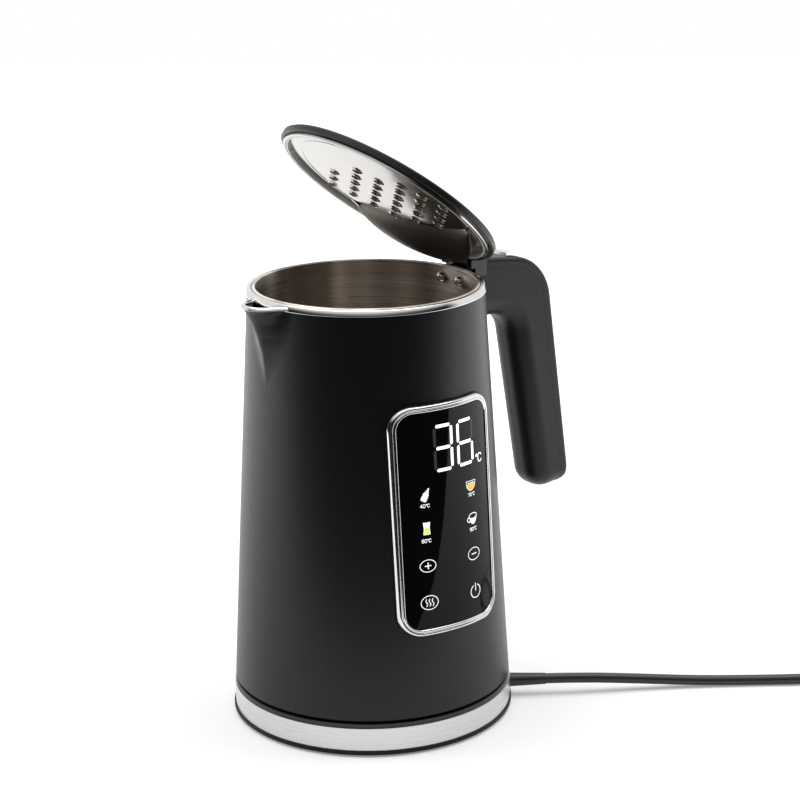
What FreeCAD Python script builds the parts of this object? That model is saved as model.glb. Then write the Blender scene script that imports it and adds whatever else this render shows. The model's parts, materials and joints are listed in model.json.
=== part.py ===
import FreeCAD, Part
import math
import os
from types import SimpleNamespace

import Sketcher

# Electric jug kettle on its power base, in millimetres.
# +Z is up, the origin is the middle of the base on the worktop, the handle is at +X, the spout at -X
# and the touch panel at -Y. The lid is drawn closed about its hinge and stands open at lid_open.

Vector = FreeCAD.Vector

DIMENSIONS = {
    "fit": 0.3, "seat": 0.1, "running": 0.05,
    "foot_h": 1.0, "foot_r": 7.0, "foot_inset": 20.0,
    "base_lip": 1.3, "lip_h": 2.3, "band_step": 0.5, "band_top": 16.0, "band_t": 0.6,
    "deck_t": 2.2, "pan_t": 2.2, "hub_r": 19.0, "hub_h": 5.8, "hub_t": 2.0,
    "boss_r": 16.6, "boss_proud": 2.5, "slot_floor": 9.0, "pin_r": 2.0, "ring_a": 5.2, "ring_b": 10.0,
    "ring_t": 1.1, "ring_gap": 0.6, "collar_r": 23.0, "collar_h": 4.0,
    "base_gap": 2.3, "shell_z1": 237.2, "shell_r0": 76.7, "shell_r1": 64.03, "shell_t": 2.6,
    "ledge_up": 6.5, "ledge_t": 2.0, "ledge_w": 9.0, "socket_t": 2.2, "socket_h": 14.8, "socket_disc": 3.0,
    "pot_in": 5.6, "pot_t": 0.7, "pot_z": 48.0, "rim_h": 3.7, "rim_proud": 1.07, "bead_w": 1.7, "bead_h": 1.5,
    "flange_t": 0.8, "rim_lap": 1.7, "ring_w": 3.6, "ring_skirt": 0.8,
    "disc_in": 13.5, "disc_t": 3.0, "element_in": 10.0, "element_w": 5.6, "element_h": 5.0,
    "sensor_x": 0.0, "sensor_in": 16.0, "sensor_r": 3.0, "cutout_in": 16.0, "cutout_r": 8.0, "cutout_h": 6.0,
    "board_up": 3.0, "board_t": 1.6, "board_in": 28.0, "board_out": 62.0, "post_r": 3.0, "post_at": 50.0,
    "panel_w": 33.5, "panel_z0": 65.0, "panel_z1": 190.0, "panel_corner": 13.0, "gasket_t": 0.7,
    "bezel_t": 2.0, "bezel_inset": 0.6, "bezel_w": 3.6, "lens_t": 1.3, "window_w": 20.0, "window_low": 13.0,
    "window_high": 28.0, "display_gap": 1.4, "display_w": 15.0, "display_t": 1.6, "guide_w": 14.0,
    "guide_sag": 0.9,
    "trim_up": 0.8, "trim_h": 1.5, "trim_t": 2.2, "trim_proud": 0.3, "beak_t": 2.2, "beak_sink": 0.4,
    "handle_w": 26.0, "handle_round": 11.0, "handle_gap": 8.9, "handle_reach": 44.4, "handle_rise": 5.3,
    "top_slope": 0.125, "bend_r": 29.0, "cover_t": 6.05, "cover_cut": 7.5, "outer_slope": 0.135,
    "arm_drop": 26.2, "grip_t": 24.8, "grip_l": 109.5, "inner_round": 14.0,
    "grip_foot": 24.5, "foot_rise": 2.5, "foot_round": 12.5,
    "shelf_drop": 0.3, "hinge_plate": 1.6, "cover_round": 2.5, "mount_wall": 2.0, "mount_w": 22.0,
    "hinge_gap": 3.9, "hinge_rise": 2.6, "hinge_pin": 2.0, "barrel_r": 4.6, "barrel_w": 9.0, "ear_l": 6.4,
    "ear_w": 3.7, "ear_h": 6.2, "ear_cut": 4.2, "pin_cover": 1.2, "lid_open": 38.5, "spring_w": 2.9,
    "cap_in": 0.3, "cap_lift": 1.9, "cap_h": 5.9, "cap_crown": 2.8, "cap_t": 2.0, "hinge_clear": 7.2, "hinge_cut_w": 14.0,
    "plate_in": 0.3, "plate_rise": 2.5, "dish_t": 0.6, "skirt_gap": 6.5, "skirt_t": 1.2, "skirt_drop": 4.7,
    "skirt_lap": 0.3, "skirt_from": 17.0, "ramp_from": 33.0, "lid_bead": 1.5, "seal_w": 1.3, "seal_h": 2.0,
    "hole_r": 2.3, "hole_x": 8.4, "hole_y": 9.8, "boss_in": 7.8, "arm_t": 1.1, "arm_l": 15.0,
    "button_w": 16.0, "button_l": 22.0, "button_proud": 2.0, "button_t": 5.4, "button_dir": 70.0,
    "press": 2.0, "spring_floor": 12.0, "slider_w": 10.0, "slider_t": 3.0, "slider_gap": 0.6, "slider_l": 10.5,
    "rivet_y": 7.9, "rivet_drop": 2.7, "rivet_r": 2.0, "rivet_head": 3.0, "rivet_l": 8.0, "rivet_sink": 1.1,
    "cord_r": 2.9, "cord_az": -35.0, "cord_z": 9.0, "gland_r": 4.6, "gland_reach": 20.0, "gland_depth": 5.6,
    "gland_root": 3.9, "gland_tip": 3.2, "gland_flange": 5.6,
    "cord_turn": -37.5, "coil_x": 300.0, "coil_y": 48.3, "coil_r": 35.3, "coil_pitch": 7.6, "coil_turns": 2.25,
    "turn_gap": 0.6, "tie_t": 0.8, "tie_w": 8.0, "tie_at": 135.0,
    "plug_l": 36.0, "plug_w": 28.0, "plug_h": 17.4, "plug_sleeve": 22.0, "sleeve_r": 5.5, "plug_round": 6.0,
    "prong_r": 2.0, "prong_l": 19.0, "prong_y": 9.5,
}

doc = FreeCAD.newDocument("kettle")
sheet = doc.addObject("Spreadsheet::Sheet", "params")


class Size:
    """A number that also knows the sheet expression it comes from."""

    def __init__(self, value, text):
        self.value = float(value)
        self.text = text

    def __add__(self, other):
        other = size(other)
        return Size(self.value + other.value, f"({self.text} + {other.text})")

    def __sub__(self, other):
        other = size(other)
        return Size(self.value - other.value, f"({self.text} - {other.text})")

    def __mul__(self, other):
        other = size(other)
        return Size(self.value * other.value, f"({self.text} * {other.text})")

    def __truediv__(self, other):
        other = size(other)
        return Size(self.value / other.value, f"({self.text} / {other.text})")

    def __radd__(self, other):
        return size(other) + self

    def __rsub__(self, other):
        return size(other) - self

    def __rmul__(self, other):
        return size(other) * self

    def __neg__(self):
        return Size(-self.value, f"(0 - {self.text})")


def size(number):
    if isinstance(number, Size):
        return number
    return Size(number, f"({float(number)})")


def sine(angle):
    angle = size(angle)
    return Size(math.sin(math.radians(angle.value)), f"sin(1 deg * {angle.text})")


def cosine(angle):
    angle = size(angle)
    return Size(math.cos(math.radians(angle.value)), f"cos(1 deg * {angle.text})")


def fill_sheet():
    sizes = {}
    for row, (alias, value) in enumerate(DIMENSIONS.items(), start=1):
        sheet.set(f"A{row}", alias)
        sheet.set(f"B{row}", str(value))
        sheet.setAlias(f"B{row}", alias)
        sizes[alias] = Size(value, f"params.{alias}")
    doc.recompute()
    return SimpleNamespace(**sizes)


def add_base_sizes(d):
    """The base follows the foot of the shell that stands on it."""
    d.deck_r = d.shell_r0
    d.base_r = d.shell_r0 + d.base_lip
    d.band_r = d.shell_r0 + d.band_step
    d.foot_at = d.base_r - d.foot_inset
    d.lip_z = d.foot_h + d.lip_h
    d.deck_z = d.band_top + d.deck_t
    d.hub_z = d.deck_z + d.hub_h
    d.boss_top = d.hub_z + d.boss_proud
    d.gland_in = d.band_r - d.band_t - d.gland_depth
    d.gland_out = d.base_r + d.gland_reach


def add_jug_sizes(d):
    """The pot, its rim and what is under it follow the shell's two ends."""
    d.shell_z0 = d.deck_z + d.base_gap
    d.ledge_z = d.shell_z0 + d.ledge_up
    d.socket_top = d.deck_z + d.socket_h
    d.board_z = d.ledge_z + d.board_up
    d.rim_z = d.shell_z1 + d.rim_h
    d.rim_r = d.shell_r1 + d.rim_proud
    d.flange_r = d.rim_r - d.rim_lap
    d.ring_inner = d.rim_r - d.ring_w
    d.pot_r = d.rim_r - d.pot_in
    d.disc_r = d.pot_r - d.disc_in
    d.element_r = d.disc_r - d.element_in
    d.sensor_y = d.sensor_in - d.element_r
    d.cutout_y = d.element_r - d.cutout_in
    d.trim_z = d.shell_z1 + d.trim_up
    d.window_z0 = d.panel_z0 + d.window_low
    d.window_z1 = d.panel_z1 - d.window_high
    d.display_y = d.pot_r + d.pot_t + d.display_gap
    d.rivet_z = d.shell_z1 - d.rivet_drop


def add_handle_sizes(d):
    """The handle and the hinge follow the rim."""
    d.handle_front = d.rim_r + d.handle_gap
    d.corner_x = d.handle_front + d.handle_reach
    d.top_z = d.rim_z + d.handle_rise
    d.corner_z = d.top_z - d.top_slope * d.handle_reach
    d.arm_z = d.shell_z1 - d.arm_drop
    d.inner_x = d.corner_x - d.grip_t
    d.inner_z = d.arm_z
    d.foot_in_z = d.arm_z - d.grip_l
    d.foot_out_z = d.foot_in_z + d.foot_rise
    d.foot_out_x = d.corner_x + d.outer_slope * (d.corner_z - d.foot_out_z) - d.seat
    d.foot_in_x = d.foot_out_x - d.grip_foot
    d.shelf_z = d.shell_z1 - d.shelf_drop
    d.mount_x = d.handle_front - d.mount_wall
    d.slider_x0 = d.handle_front + d.slider_gap
    d.slider_x1 = d.slider_x0 + d.slider_l
    d.hinge_x = d.rim_r + d.hinge_gap
    d.hinge_z = d.rim_z + d.hinge_rise


def add_lid_sizes(d):
    """The lid follows the rim it closes and the pot it reaches into."""
    d.cap_r = d.rim_r - d.cap_in
    d.cap_z = d.rim_z + d.cap_h
    d.cap_top = d.cap_z + d.cap_crown
    d.hinge_cut = d.hinge_x - d.hinge_clear
    d.skirt_out = d.pot_r - d.skirt_gap
    d.skirt_in = d.skirt_out - d.skirt_t
    d.skirt_top = d.skirt_out + d.skirt_lap
    d.skirt_z = d.rim_z - d.skirt_drop
    d.plate_r = d.skirt_in - d.plate_in
    d.plate_z = d.rim_z + d.plate_rise
    d.dish_edge = d.plate_z
    d.dish_r = d.cap_r - d.cap_t - d.fit
    d.seal_r = d.dish_r - d.lid_bead - d.seat
    d.seal_z = d.dish_edge - d.seal_h
    d.boss_at = d.cap_r - d.boss_in
    d.coil_rise = 2 * d.cord_r + d.turn_gap


d = fill_sheet()
add_base_sizes(d)
add_jug_sizes(d)
add_handle_sizes(d)
add_lid_sizes(d)
nodes = []


def new_body(label):
    body = doc.addObject("PartDesign::Body", label)
    body.Label = label
    body.AllowCompound = True
    nodes.append(body)
    return body


def bind(item, path, value):
    item.setExpression(path, size(value).text)


def sketch_on(body, role, shift=(0, 0, 0)):
    plane = next(f for f in body.Origin.OriginFeatures if f.Role == role)
    drawing = body.newObject("Sketcher::SketchObject", "sketch")
    drawing.AttachmentSupport = [(plane, "")]
    drawing.MapMode = "FlatFace"
    for axis, value in zip("xyz", shift):
        bind(drawing, f"AttachmentOffset.Base.{axis}", value)
    return drawing


def pin(drawing, geometry, point, x, y):
    for kind, value in (("DistanceX", size(x)), ("DistanceY", size(y))):
        index = drawing.addConstraint(Sketcher.Constraint(kind, -1, 1, geometry, point, value.value))
        bind(drawing, f"Constraints[{index}]", value)


def flat(x, y):
    return Vector(size(x).value, size(y).value, 0)


def polygon(drawing, points):
    start = drawing.GeometryCount
    count = len(points)
    for i in range(count):
        line = Part.LineSegment(flat(*points[i]), flat(*points[(i + 1) % count]))
        drawing.addGeometry(line, False)
    for i in range(count):
        drawing.addConstraint(Sketcher.Constraint("Coincident", start + i, 2, start + (i + 1) % count, 1))
    for i, (x, y) in enumerate(points):
        pin(drawing, start + i, 1, x, y)


def circle(drawing, x, y, radius):
    radius = size(radius)
    index = drawing.addGeometry(Part.Circle(flat(x, y), Vector(0, 0, 1), radius.value), False)
    pin(drawing, index, 3, x, y)
    bound = drawing.addConstraint(Sketcher.Constraint("Radius", index, radius.value))
    bind(drawing, f"Constraints[{bound}]", radius)


def rectangle(drawing, x0, x1, y0, y1):
    polygon(drawing, [(x0, y0), (x1, y0), (x1, y1), (x0, y1)])


def corner_arc(drawing, first, second, middle):
    """Joins the ends of two pinned lines by an arc tangent to both."""
    a = drawing.Geometry[first].EndPoint
    b = drawing.Geometry[second].StartPoint
    index = drawing.addGeometry(Part.Arc(a, middle, b), False)
    arc = drawing.Geometry[index]
    ends = (1, 2) if arc.StartPoint.distanceToPoint(a) < 1e-6 else (2, 1)
    drawing.addConstraint(Sketcher.Constraint("Tangent", first, 2, index, ends[0]))
    drawing.addConstraint(Sketcher.Constraint("Coincident", index, ends[1], second, 1))


def pinned_line(drawing, a, b):
    index = drawing.addGeometry(Part.LineSegment(flat(*a), flat(*b)), False)
    pin(drawing, index, 1, *a)
    pin(drawing, index, 2, *b)
    return index


def rounded_rectangle(drawing, x0, x1, y0, y1, radius):
    x0, x1, y0, y1 = size(x0), size(x1), size(y0), size(y1)
    sides = [
        pinned_line(drawing, (x0 + radius, y0), (x1 - radius, y0)),
        pinned_line(drawing, (x1, y0 + radius), (x1, y1 - radius)),
        pinned_line(drawing, (x1 - radius, y1), (x0 + radius, y1)),
        pinned_line(drawing, (x0, y1 - radius), (x0, y0 + radius)),
    ]
    centres = [(x1 - radius, y0 + radius), (x1 - radius, y1 - radius),
               (x0 + radius, y1 - radius), (x0 + radius, y0 + radius)]
    for i, angle in enumerate((-45, 45, 135, -135)):
        bow = Vector(math.cos(math.radians(angle)), math.sin(math.radians(angle)), 0)
        corner_arc(drawing, sides[i], sides[(i + 1) % 4], flat(*centres[i]) + bow * radius.value)


def feature(body, kind, drawing):
    item = body.newObject("PartDesign::" + kind, kind.lower())
    item.Profile = drawing
    return item


def extrude(body, kind, drawing, length, symmetric=False, reverse=False):
    item = feature(body, kind, drawing)
    item.SideType = "Symmetric" if symmetric else "One side"
    item.Reversed = reverse
    bind(item, "Length", length)
    return item


def turn(body, kind, points, angle=360, middle=False, shift=(0, 0, 0)):
    drawing = sketch_on(body, "XZ_Plane", shift)
    polygon(drawing, points)
    item = feature(body, kind, drawing)
    item.ReferenceAxis = (drawing, ["V_Axis"])
    bind(item, "Angle", angle)
    item.Midplane = middle
    return item


def turned(label, points):
    body = new_body(label)
    turn(body, "Revolution", points)
    return body


def ring(label, inner, outer, low, high):
    return turned(label, [(inner, low), (outer, low), (outer, high), (inner, high)])


def drill(body, x, y, radius, low, high):
    """A round hole along Z from low to high."""
    drawing = sketch_on(body, "XY_Plane", (0, 0, low))
    circle(drawing, x, y, radius)
    return extrude(body, "Pocket", drawing, size(high) - low, reverse=True)


def post(body, x, y, radius, low, high):
    drawing = sketch_on(body, "XY_Plane", (0, 0, low))
    circle(drawing, x, y, radius)
    return extrude(body, "Pad", drawing, size(high) - low)


def drill_x(body, y, z, radius, near, far):
    """A round hole along X from near to far."""
    drawing = sketch_on(body, "YZ_Plane", (0, 0, near))
    circle(drawing, y, z, radius)
    return extrude(body, "Pocket", drawing, size(far) - near, reverse=True)


def slab(body, points, width, kind="Pad"):
    """A side profile in XZ, extruded equally to both sides of the middle plane."""
    drawing = sketch_on(body, "XZ_Plane")
    polygon(drawing, points)
    return extrude(body, kind, drawing, width, symmetric=True)


def round_edges(body, radius, test):
    doc.recompute()
    base = body.Tip
    names = [f"Edge{i}" for i, edge in enumerate(base.Shape.Edges, start=1) if test(edge)]
    item = body.newObject("PartDesign::Fillet", "fillet")
    item.Base = (base, names)
    bind(item, "Radius", radius)
    doc.recompute()
    return item


def across_at(x, z):
    """Test for a straight edge along Y through a point of the side profile."""
    x, z = size(x).value, size(z).value

    def test(edge):
        a, b = edge.firstVertex().Point, edge.lastVertex().Point
        along = abs(a.x - b.x) + abs(a.z - b.z) < 1e-3 and abs(a.y - b.y) > 0.1
        return along and abs(a.x - x) + abs(a.z - z) < 0.05

    return test


def cylinder(label, radius, height, place, axis=(0, 0, 1)):
    item = doc.addObject("Part::Cylinder", label)
    bind(item, "Radius", radius)
    bind(item, "Height", height)
    turn_to(item, axis)
    put_at(item, place)
    return item


def turn_to(item, axis):
    item.Placement = FreeCAD.Placement(Vector(0, 0, 0), FreeCAD.Rotation(Vector(0, 0, 1), Vector(*axis)))


def put_at(item, place):
    for axis, value in zip("xyz", place):
        bind(item, f"Placement.Base.{axis}", value)


def group(label, items):
    """Identical fasteners, each a solid of its own, kept as one node."""
    item = doc.addObject("Part::Compound", label)
    item.Label = label
    item.Links = items
    nodes.append(item)
    return item


def around(count, radius, first=0.0):
    for i in range(count):
        angle = first + 360.0 * i / count
        yield size(radius) * round(math.cos(math.radians(angle)), 9), \
            size(radius) * round(math.sin(math.radians(angle)), 9)


def shell_r(z):
    """Outer radius of the tapered shell at a height."""
    return d.shell_r0 + (d.shell_r1 - d.shell_r0) * (size(z) - d.shell_z0) / (d.shell_z1 - d.shell_z0)


def clear_of_shell(body, low, high, gap):
    """Cuts a body back to the shell's tapered wall, with a gap."""
    turn(body, "Groove", [(0, low), (shell_r(low) + gap, low), (shell_r(high) + gap, high), (0, high)])


def side_hole(body, radius, near, far):
    """The cord's hole through the side of the base."""
    drawing = sketch_on(body, "YZ_Plane", (0, 0, near))
    circle(drawing, 0, d.cord_z, radius)
    return extrude(body, "Pocket", drawing, size(far) - near, reverse=True)


def spin_z(item, angle):
    """Turns a piece about the vertical; the first angle only sets the axis."""
    item.Placement = FreeCAD.Placement(Vector(0, 0, 0), FreeCAD.Rotation(Vector(0, 0, 1), 1.0))
    bind(item, "Placement.Rotation.Angle", angle)


def make_base():
    wall_out = d.band_r - d.band_t - 0.2
    wall_in = wall_out - 2
    pan = turned("base_pan", [
        (0, d.foot_h), (d.base_r - 0.6, d.foot_h), (d.base_r, d.foot_h + 0.6), (d.base_r, d.lip_z),
        (wall_out, d.lip_z), (wall_out, d.band_top), (wall_in, d.band_top),
        (wall_in, d.foot_h + d.pan_t), (0, d.foot_h + d.pan_t)])
    side_hole(pan, d.gland_r + 0.1, wall_in - 4, d.base_r + 1)
    spin_z(pan, d.cord_az)
    band = ring("base_band", d.band_r - d.band_t, d.band_r, d.lip_z, d.band_top)
    side_hole(band, d.gland_r + 0.1, d.band_r - 6, d.band_r + 2)
    spin_z(band, d.cord_az)
    deck_low = d.deck_z - d.deck_t
    deck = turned("base_top", [
        (d.hub_r - d.hub_t, deck_low), (d.deck_r, deck_low), (d.deck_r, d.deck_z - 0.6),
        (d.deck_r - 0.6, d.deck_z), (d.hub_r, d.deck_z), (d.hub_r, d.hub_z), (d.hub_r - d.hub_t, d.hub_z)])
    for x, y in around(4, d.foot_at, 45.0):
        post(deck, x, y, 4, d.foot_h + d.pan_t, deck_low)
        drill(deck, x, y, 1.2, d.foot_h + d.pan_t, d.foot_h + d.pan_t + 8)
    feet = [cylinder("foot", d.foot_r, d.foot_h, (x, y, 0)) for x, y in around(4, d.foot_at)]
    feet.append(cylinder("middle_foot", d.foot_r, d.foot_h, (0, 0, 0)))
    group("base_feet", feet)
    for x, y in around(4, d.foot_at, 45.0):
        # the pan is drawn turned to the cord, so its screw holes turn back
        drill(pan, x * cosine(d.cord_az) + y * sine(d.cord_az), y * cosine(d.cord_az) - x * sine(d.cord_az),
              1.4, d.foot_h - 1, d.foot_h + d.pan_t + 1)
    screws = [cylinder("screw", 1.15, 8, (x, y, d.foot_h + 0.4)) for x, y in around(4, d.foot_at, 45.0)]
    group("base_screws", screws)


def make_coupling():
    floor = d.foot_h + d.pan_t
    slot_a = (d.ring_a - d.ring_gap, d.ring_a + d.ring_t + d.ring_gap)
    slot_b = (d.ring_b - d.ring_gap, d.ring_b + d.ring_t + d.ring_gap)
    turned("base_connector", [
        (d.pin_r + d.ring_gap, floor), (d.boss_r, floor), (d.boss_r, d.boss_top),
        (slot_b[1], d.boss_top), (slot_b[1], d.slot_floor), (slot_b[0], d.slot_floor), (slot_b[0], d.boss_top),
        (slot_a[1], d.boss_top), (slot_a[1], d.slot_floor), (slot_a[0], d.slot_floor), (slot_a[0], d.boss_top),
        (d.pin_r + d.ring_gap, d.boss_top)])
    contacts = []
    for low, high in (slot_a, slot_b):
        outer = doc.addObject("Part::Cylinder", "outer")
        inner = doc.addObject("Part::Cylinder", "inner")
        bind(outer, "Radius", high - 0.02)
        bind(inner, "Radius", low + 0.02)
        for item in (outer, inner):
            bind(item, "Height", 2)
            bind(item, "Placement.Base.z", d.slot_floor)
        hoop = doc.addObject("Part::Cut", "hoop")
        hoop.Base = outer
        hoop.Tool = inner
        contacts.append(hoop)
    group("base_contacts", contacts)
    ring("coupling_collar", d.hub_r + d.running, d.collar_r, d.deck_z + d.fit, d.deck_z + d.fit + d.collar_h)
    low = d.deck_z + d.fit
    socket = d.collar_r + 0.4
    cover_r = shell_r(d.shell_z0) - d.shell_t - 0.5
    cover = turned("jug_bottom_cover", [
        (socket, low), (cover_r, low), (cover_r, d.ledge_z), (cover_r - 2, d.ledge_z), (cover_r - 2, low + 2.4),
        (socket + d.socket_t, low + 2.4), (socket + d.socket_t, d.socket_top), (socket, d.socket_top)])
    for x, y in around(3, d.post_at, 30.0):
        post(cover, x, y, d.post_r, low + 2.4, d.board_z)
    top = d.socket_top + d.socket_disc
    a0, a1, b0, b1 = d.ring_a, d.ring_a + d.ring_t, d.ring_b, d.ring_b + d.ring_t
    tail = d.slot_floor + 5
    turned("jug_connector", [
        (0, tail), (d.pin_r, tail), (d.pin_r, d.socket_top), (a0, d.socket_top), (a0, tail), (a1, tail),
        (a1, d.socket_top), (b0, d.socket_top), (b0, tail), (b1, tail), (b1, d.socket_top),
        (socket + d.socket_t, d.socket_top), (socket + d.socket_t, top), (0, top)])
    screws = []
    for x, y in around(3, cover_r - 6, 90.0):
        post(cover, x, y, 3.4, low + 2.4, d.ledge_z)
        drill(cover, x, y, 1.7, low - 1, d.ledge_z + 1)
        screws.append(cylinder("cover_screw", 1.5, d.ledge_z + d.ledge_t - low - 1, (x, y, low + 0.5)))
    group("cover_screws", screws)
    ring("power_board", d.board_in, d.board_out, d.board_z, d.board_z + d.board_t)


def arc_between(drawing, start, middle, end, radius):
    """An arc pinned at both ends, with its radius bound. A sketch counts its arcs anticlockwise."""
    if (flat(*middle) - flat(*start)).cross(flat(*end) - flat(*middle)).z < 0:
        start, end = end, start
    index = drawing.addGeometry(Part.Arc(flat(*start), flat(*middle), flat(*end)), False)
    pin(drawing, index, 1, *start)
    pin(drawing, index, 2, *end)
    bound = drawing.addConstraint(Sketcher.Constraint("Radius", index, size(radius).value))
    bind(drawing, f"Constraints[{bound}]", radius)


def beak_section(body, z, wall, tip, nose, hollow, inset):
    """One level of the beak: a round nose that runs in hollow flanks into the wall, drawn in by an inset."""
    drawing = sketch_on(body, "XY_Plane", (0, 0, z))
    back = tip - nose
    far, near = wall.value + hollow, nose + hollow
    x = (far ** 2 + back.value ** 2 - near ** 2) / (2 * back.value)
    y = math.sqrt(far ** 2 - x ** 2)
    from_nose = ((x - back.value) / near, y / near)
    from_wall = (x / far, y / far)
    small, large = size(nose) - inset, size(hollow) + inset
    lean = math.hypot(from_nose[0] + from_wall[0], from_nose[1] + from_wall[1])
    bow = [(a + b) / lean * large.value for a, b in zip(from_nose, from_wall)]
    for side in (1, -1):
        shoulder = (-back - small * from_nose[0], small * (from_nose[1] * side))
        root = ((wall - inset) * -from_wall[0], (wall - inset) * (from_wall[1] * side))
        arc_between(drawing, shoulder, (bow[0] - x, (y - bow[1]) * side), root, large)
    shoulder_x, shoulder_y = -back - small * from_nose[0], small * from_nose[1]
    arc_between(drawing, (shoulder_x, shoulder_y), (-back - small, 0), (shoulder_x, -shoulder_y), small)
    root_x, root_y = (wall - inset) * -from_wall[0], (wall - inset) * from_wall[1]
    pinned_line(drawing, (root_x, -root_y), (root_x, root_y))
    return drawing


def loft(body, kind, sections):
    item = body.newObject("PartDesign::" + kind, kind.lower())
    item.Profile = sections[0]
    item.Sections = sections[1:]
    item.Ruled = False
    return item


# height above the shell's top, how far the tip stands out of the wall, the radius of the nose and that of the
# hollow flanks
BEAK = ((-40.2, -0.15, 3.5, 60.0), (-33.8, 0.6, 3.5, 60.0), (-25.0, 2.3, 3.5, 55.0), (-15.2, 5.4, 4.5, 40.0),
        (-7.2, 8.9, 6.5, 26.0), (-1.6, 11.8, 10.5, 14.0), (0.8, 13.5, 12.7, 10.0))


def beak_levels(first=0):
    for up, out, nose, hollow in BEAK[first:]:
        z = d.shell_z1 + up
        yield z, shell_r(z) - d.beak_sink, shell_r(z) + out, nose, hollow


def make_shell():
    top = d.trim_z + 2
    shell = turned("outer_shell", [
        (0, d.shell_z0), (d.shell_r0 - 0.5, d.shell_z0), (d.shell_r0, d.shell_z0 + 0.8),
        (d.shell_r1, d.shell_z1), (0, d.shell_z1)])
    outer = [beak_section(shell, *level, 0) for level in beak_levels()]
    loft(shell, "AdditiveLoft", outer)
    bore = sketch_on(shell, "XY_Plane", (0, 0, d.shell_z1))
    circle(bore, 0, 0, d.rim_r + d.fit)
    extrude(shell, "Pocket", bore, top - d.shell_z1, reverse=True)
    inside = [(0, d.shell_z0 - 1), (d.shell_r0 - d.shell_t, d.shell_z0 - 1)]
    ledge = shell_r(d.ledge_z) - d.shell_t
    inside += [(ledge, d.ledge_z), (ledge - d.ledge_w, d.ledge_z), (ledge - d.ledge_w, d.ledge_z + d.ledge_t),
               (shell_r(d.ledge_z + d.ledge_t) - d.shell_t, d.ledge_z + d.ledge_t),
               (d.shell_r1 - d.shell_t, d.shell_z1 + 1), (0, d.shell_z1 + 1)]
    turn(shell, "Groove", inside)
    inner = [beak_section(shell, *level, d.beak_t) for level in beak_levels(2)]
    loft(shell, "SubtractiveLoft", inner)
    for side in (1, -1):
        drill_x(shell, d.rivet_y * side, d.rivet_z, d.rivet_r + 0.2, d.pot_r - 5, d.shell_r1 + 8)
    for x, y in around(3, shell_r(d.shell_z0) - d.shell_t - 6.5, 90.0):
        drill(shell, x, y, 1.55, d.ledge_z - 1, d.ledge_z + d.ledge_t + 1)
    window = sketch_on(shell, "XZ_Plane")
    rectangle(window, -d.window_w, d.window_w, d.window_z0 - 3, d.window_z1 + 3)
    extrude(shell, "Pocket", window, d.shell_r0 + 10, reverse=True)


def make_pot():
    outer = d.pot_r + d.pot_t
    bead = d.pot_r + d.bead_w
    pot = turned("inner_pot", [
        (0, d.pot_z), (outer - 4, d.pot_z), (outer, d.pot_z + 4), (outer, d.shell_z1), (d.flange_r, d.shell_z1),
        (d.flange_r, d.shell_z1 + d.flange_t), (outer, d.shell_z1 + d.flange_t), (outer, d.rim_z - d.bead_h),
        (bead, d.rim_z - d.bead_h), (bead, d.rim_z - 0.4), (bead - 0.4, d.rim_z), (d.pot_r + 0.4, d.rim_z),
        (d.pot_r, d.rim_z - 0.4), (d.pot_r, d.pot_z + 4), (d.pot_r - 4 + d.pot_t * 0.6, d.pot_z + d.pot_t),
        (0, d.pot_z + d.pot_t)])
    for row in range(3):
        for column in range(-3, 4):
            drill_x(pot, size(5.0 * column), d.rim_z - 10 - 5.0 * row, 1.6, -d.pot_r - 5, -d.pot_r + 12)
    for side in (1, -1):
        drill_x(pot, d.rivet_y * side, d.rivet_z, d.rivet_r + 0.1, d.pot_r - 5, d.pot_r + 3)
    drill(pot, d.sensor_x, d.sensor_y, d.sensor_r + 0.1, d.pot_z - 1, d.pot_z + 3)
    skirt = d.rim_r - d.ring_skirt
    low = d.shell_z1 + 0.1
    seat = d.shell_z1 + d.flange_t
    turned("rim_ring", [
        (d.ring_inner, seat), (skirt, seat), (skirt, low), (d.rim_r, low), (d.rim_r, d.rim_z - 0.7),
        (d.rim_r - 0.7, d.rim_z), (d.ring_inner + 0.5, d.rim_z - 0.2), (d.ring_inner, d.rim_z - 0.7)])
    disc = ring("heater_disc", 0, d.disc_r, d.pot_z - d.disc_t, d.pot_z)
    drill(disc, d.sensor_x, d.sensor_y, d.sensor_r + 0.1, d.pot_z - d.disc_t - 1, d.pot_z + 1)
    low = d.pot_z - d.disc_t - d.element_h
    element = new_body("heating_element")
    inner = d.element_r - d.element_w / 2
    turn(element, "Revolution", [(inner, low), (inner + d.element_w, low),
                                 (inner + d.element_w, low + d.element_h), (inner, low + d.element_h)], 320)
    cutout = new_body("thermal_cutout")
    post(cutout, 0, d.cutout_y, d.cutout_r, d.pot_z - d.disc_t - d.cutout_h, d.pot_z - d.disc_t)
    sensor = new_body("temperature_sensor")
    post(sensor, d.sensor_x, d.sensor_y, d.sensor_r, d.pot_z - d.disc_t - 6, d.pot_z + 7)
    seal = new_body("sensor_seal")
    drawing = sketch_on(seal, "XY_Plane", (0, 0, d.pot_z + d.pot_t))
    circle(drawing, d.sensor_x, d.sensor_y, d.sensor_r + 2.5)
    circle(drawing, d.sensor_x, d.sensor_y, d.sensor_r + 0.02)
    extrude(seal, "Pad", drawing, 1.5)


def make_trim():
    """Steel lip round the top of the beak, on its plastic edge."""
    top = list(beak_levels())[-1][1:]
    trim = new_body("spout_trim")
    outline = beak_section(trim, d.trim_z, *top, -d.trim_proud)
    extrude(trim, "Pad", outline, d.trim_h)
    inner = beak_section(trim, d.trim_z - 1, *top, d.trim_t)
    extrude(trim, "Pocket", inner, 8, reverse=True)
    bore = sketch_on(trim, "XY_Plane", (0, 0, d.trim_z - 1))
    circle(bore, 0, 0, d.rim_r + d.seat)
    extrude(trim, "Pocket", bore, 8, reverse=True)


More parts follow.
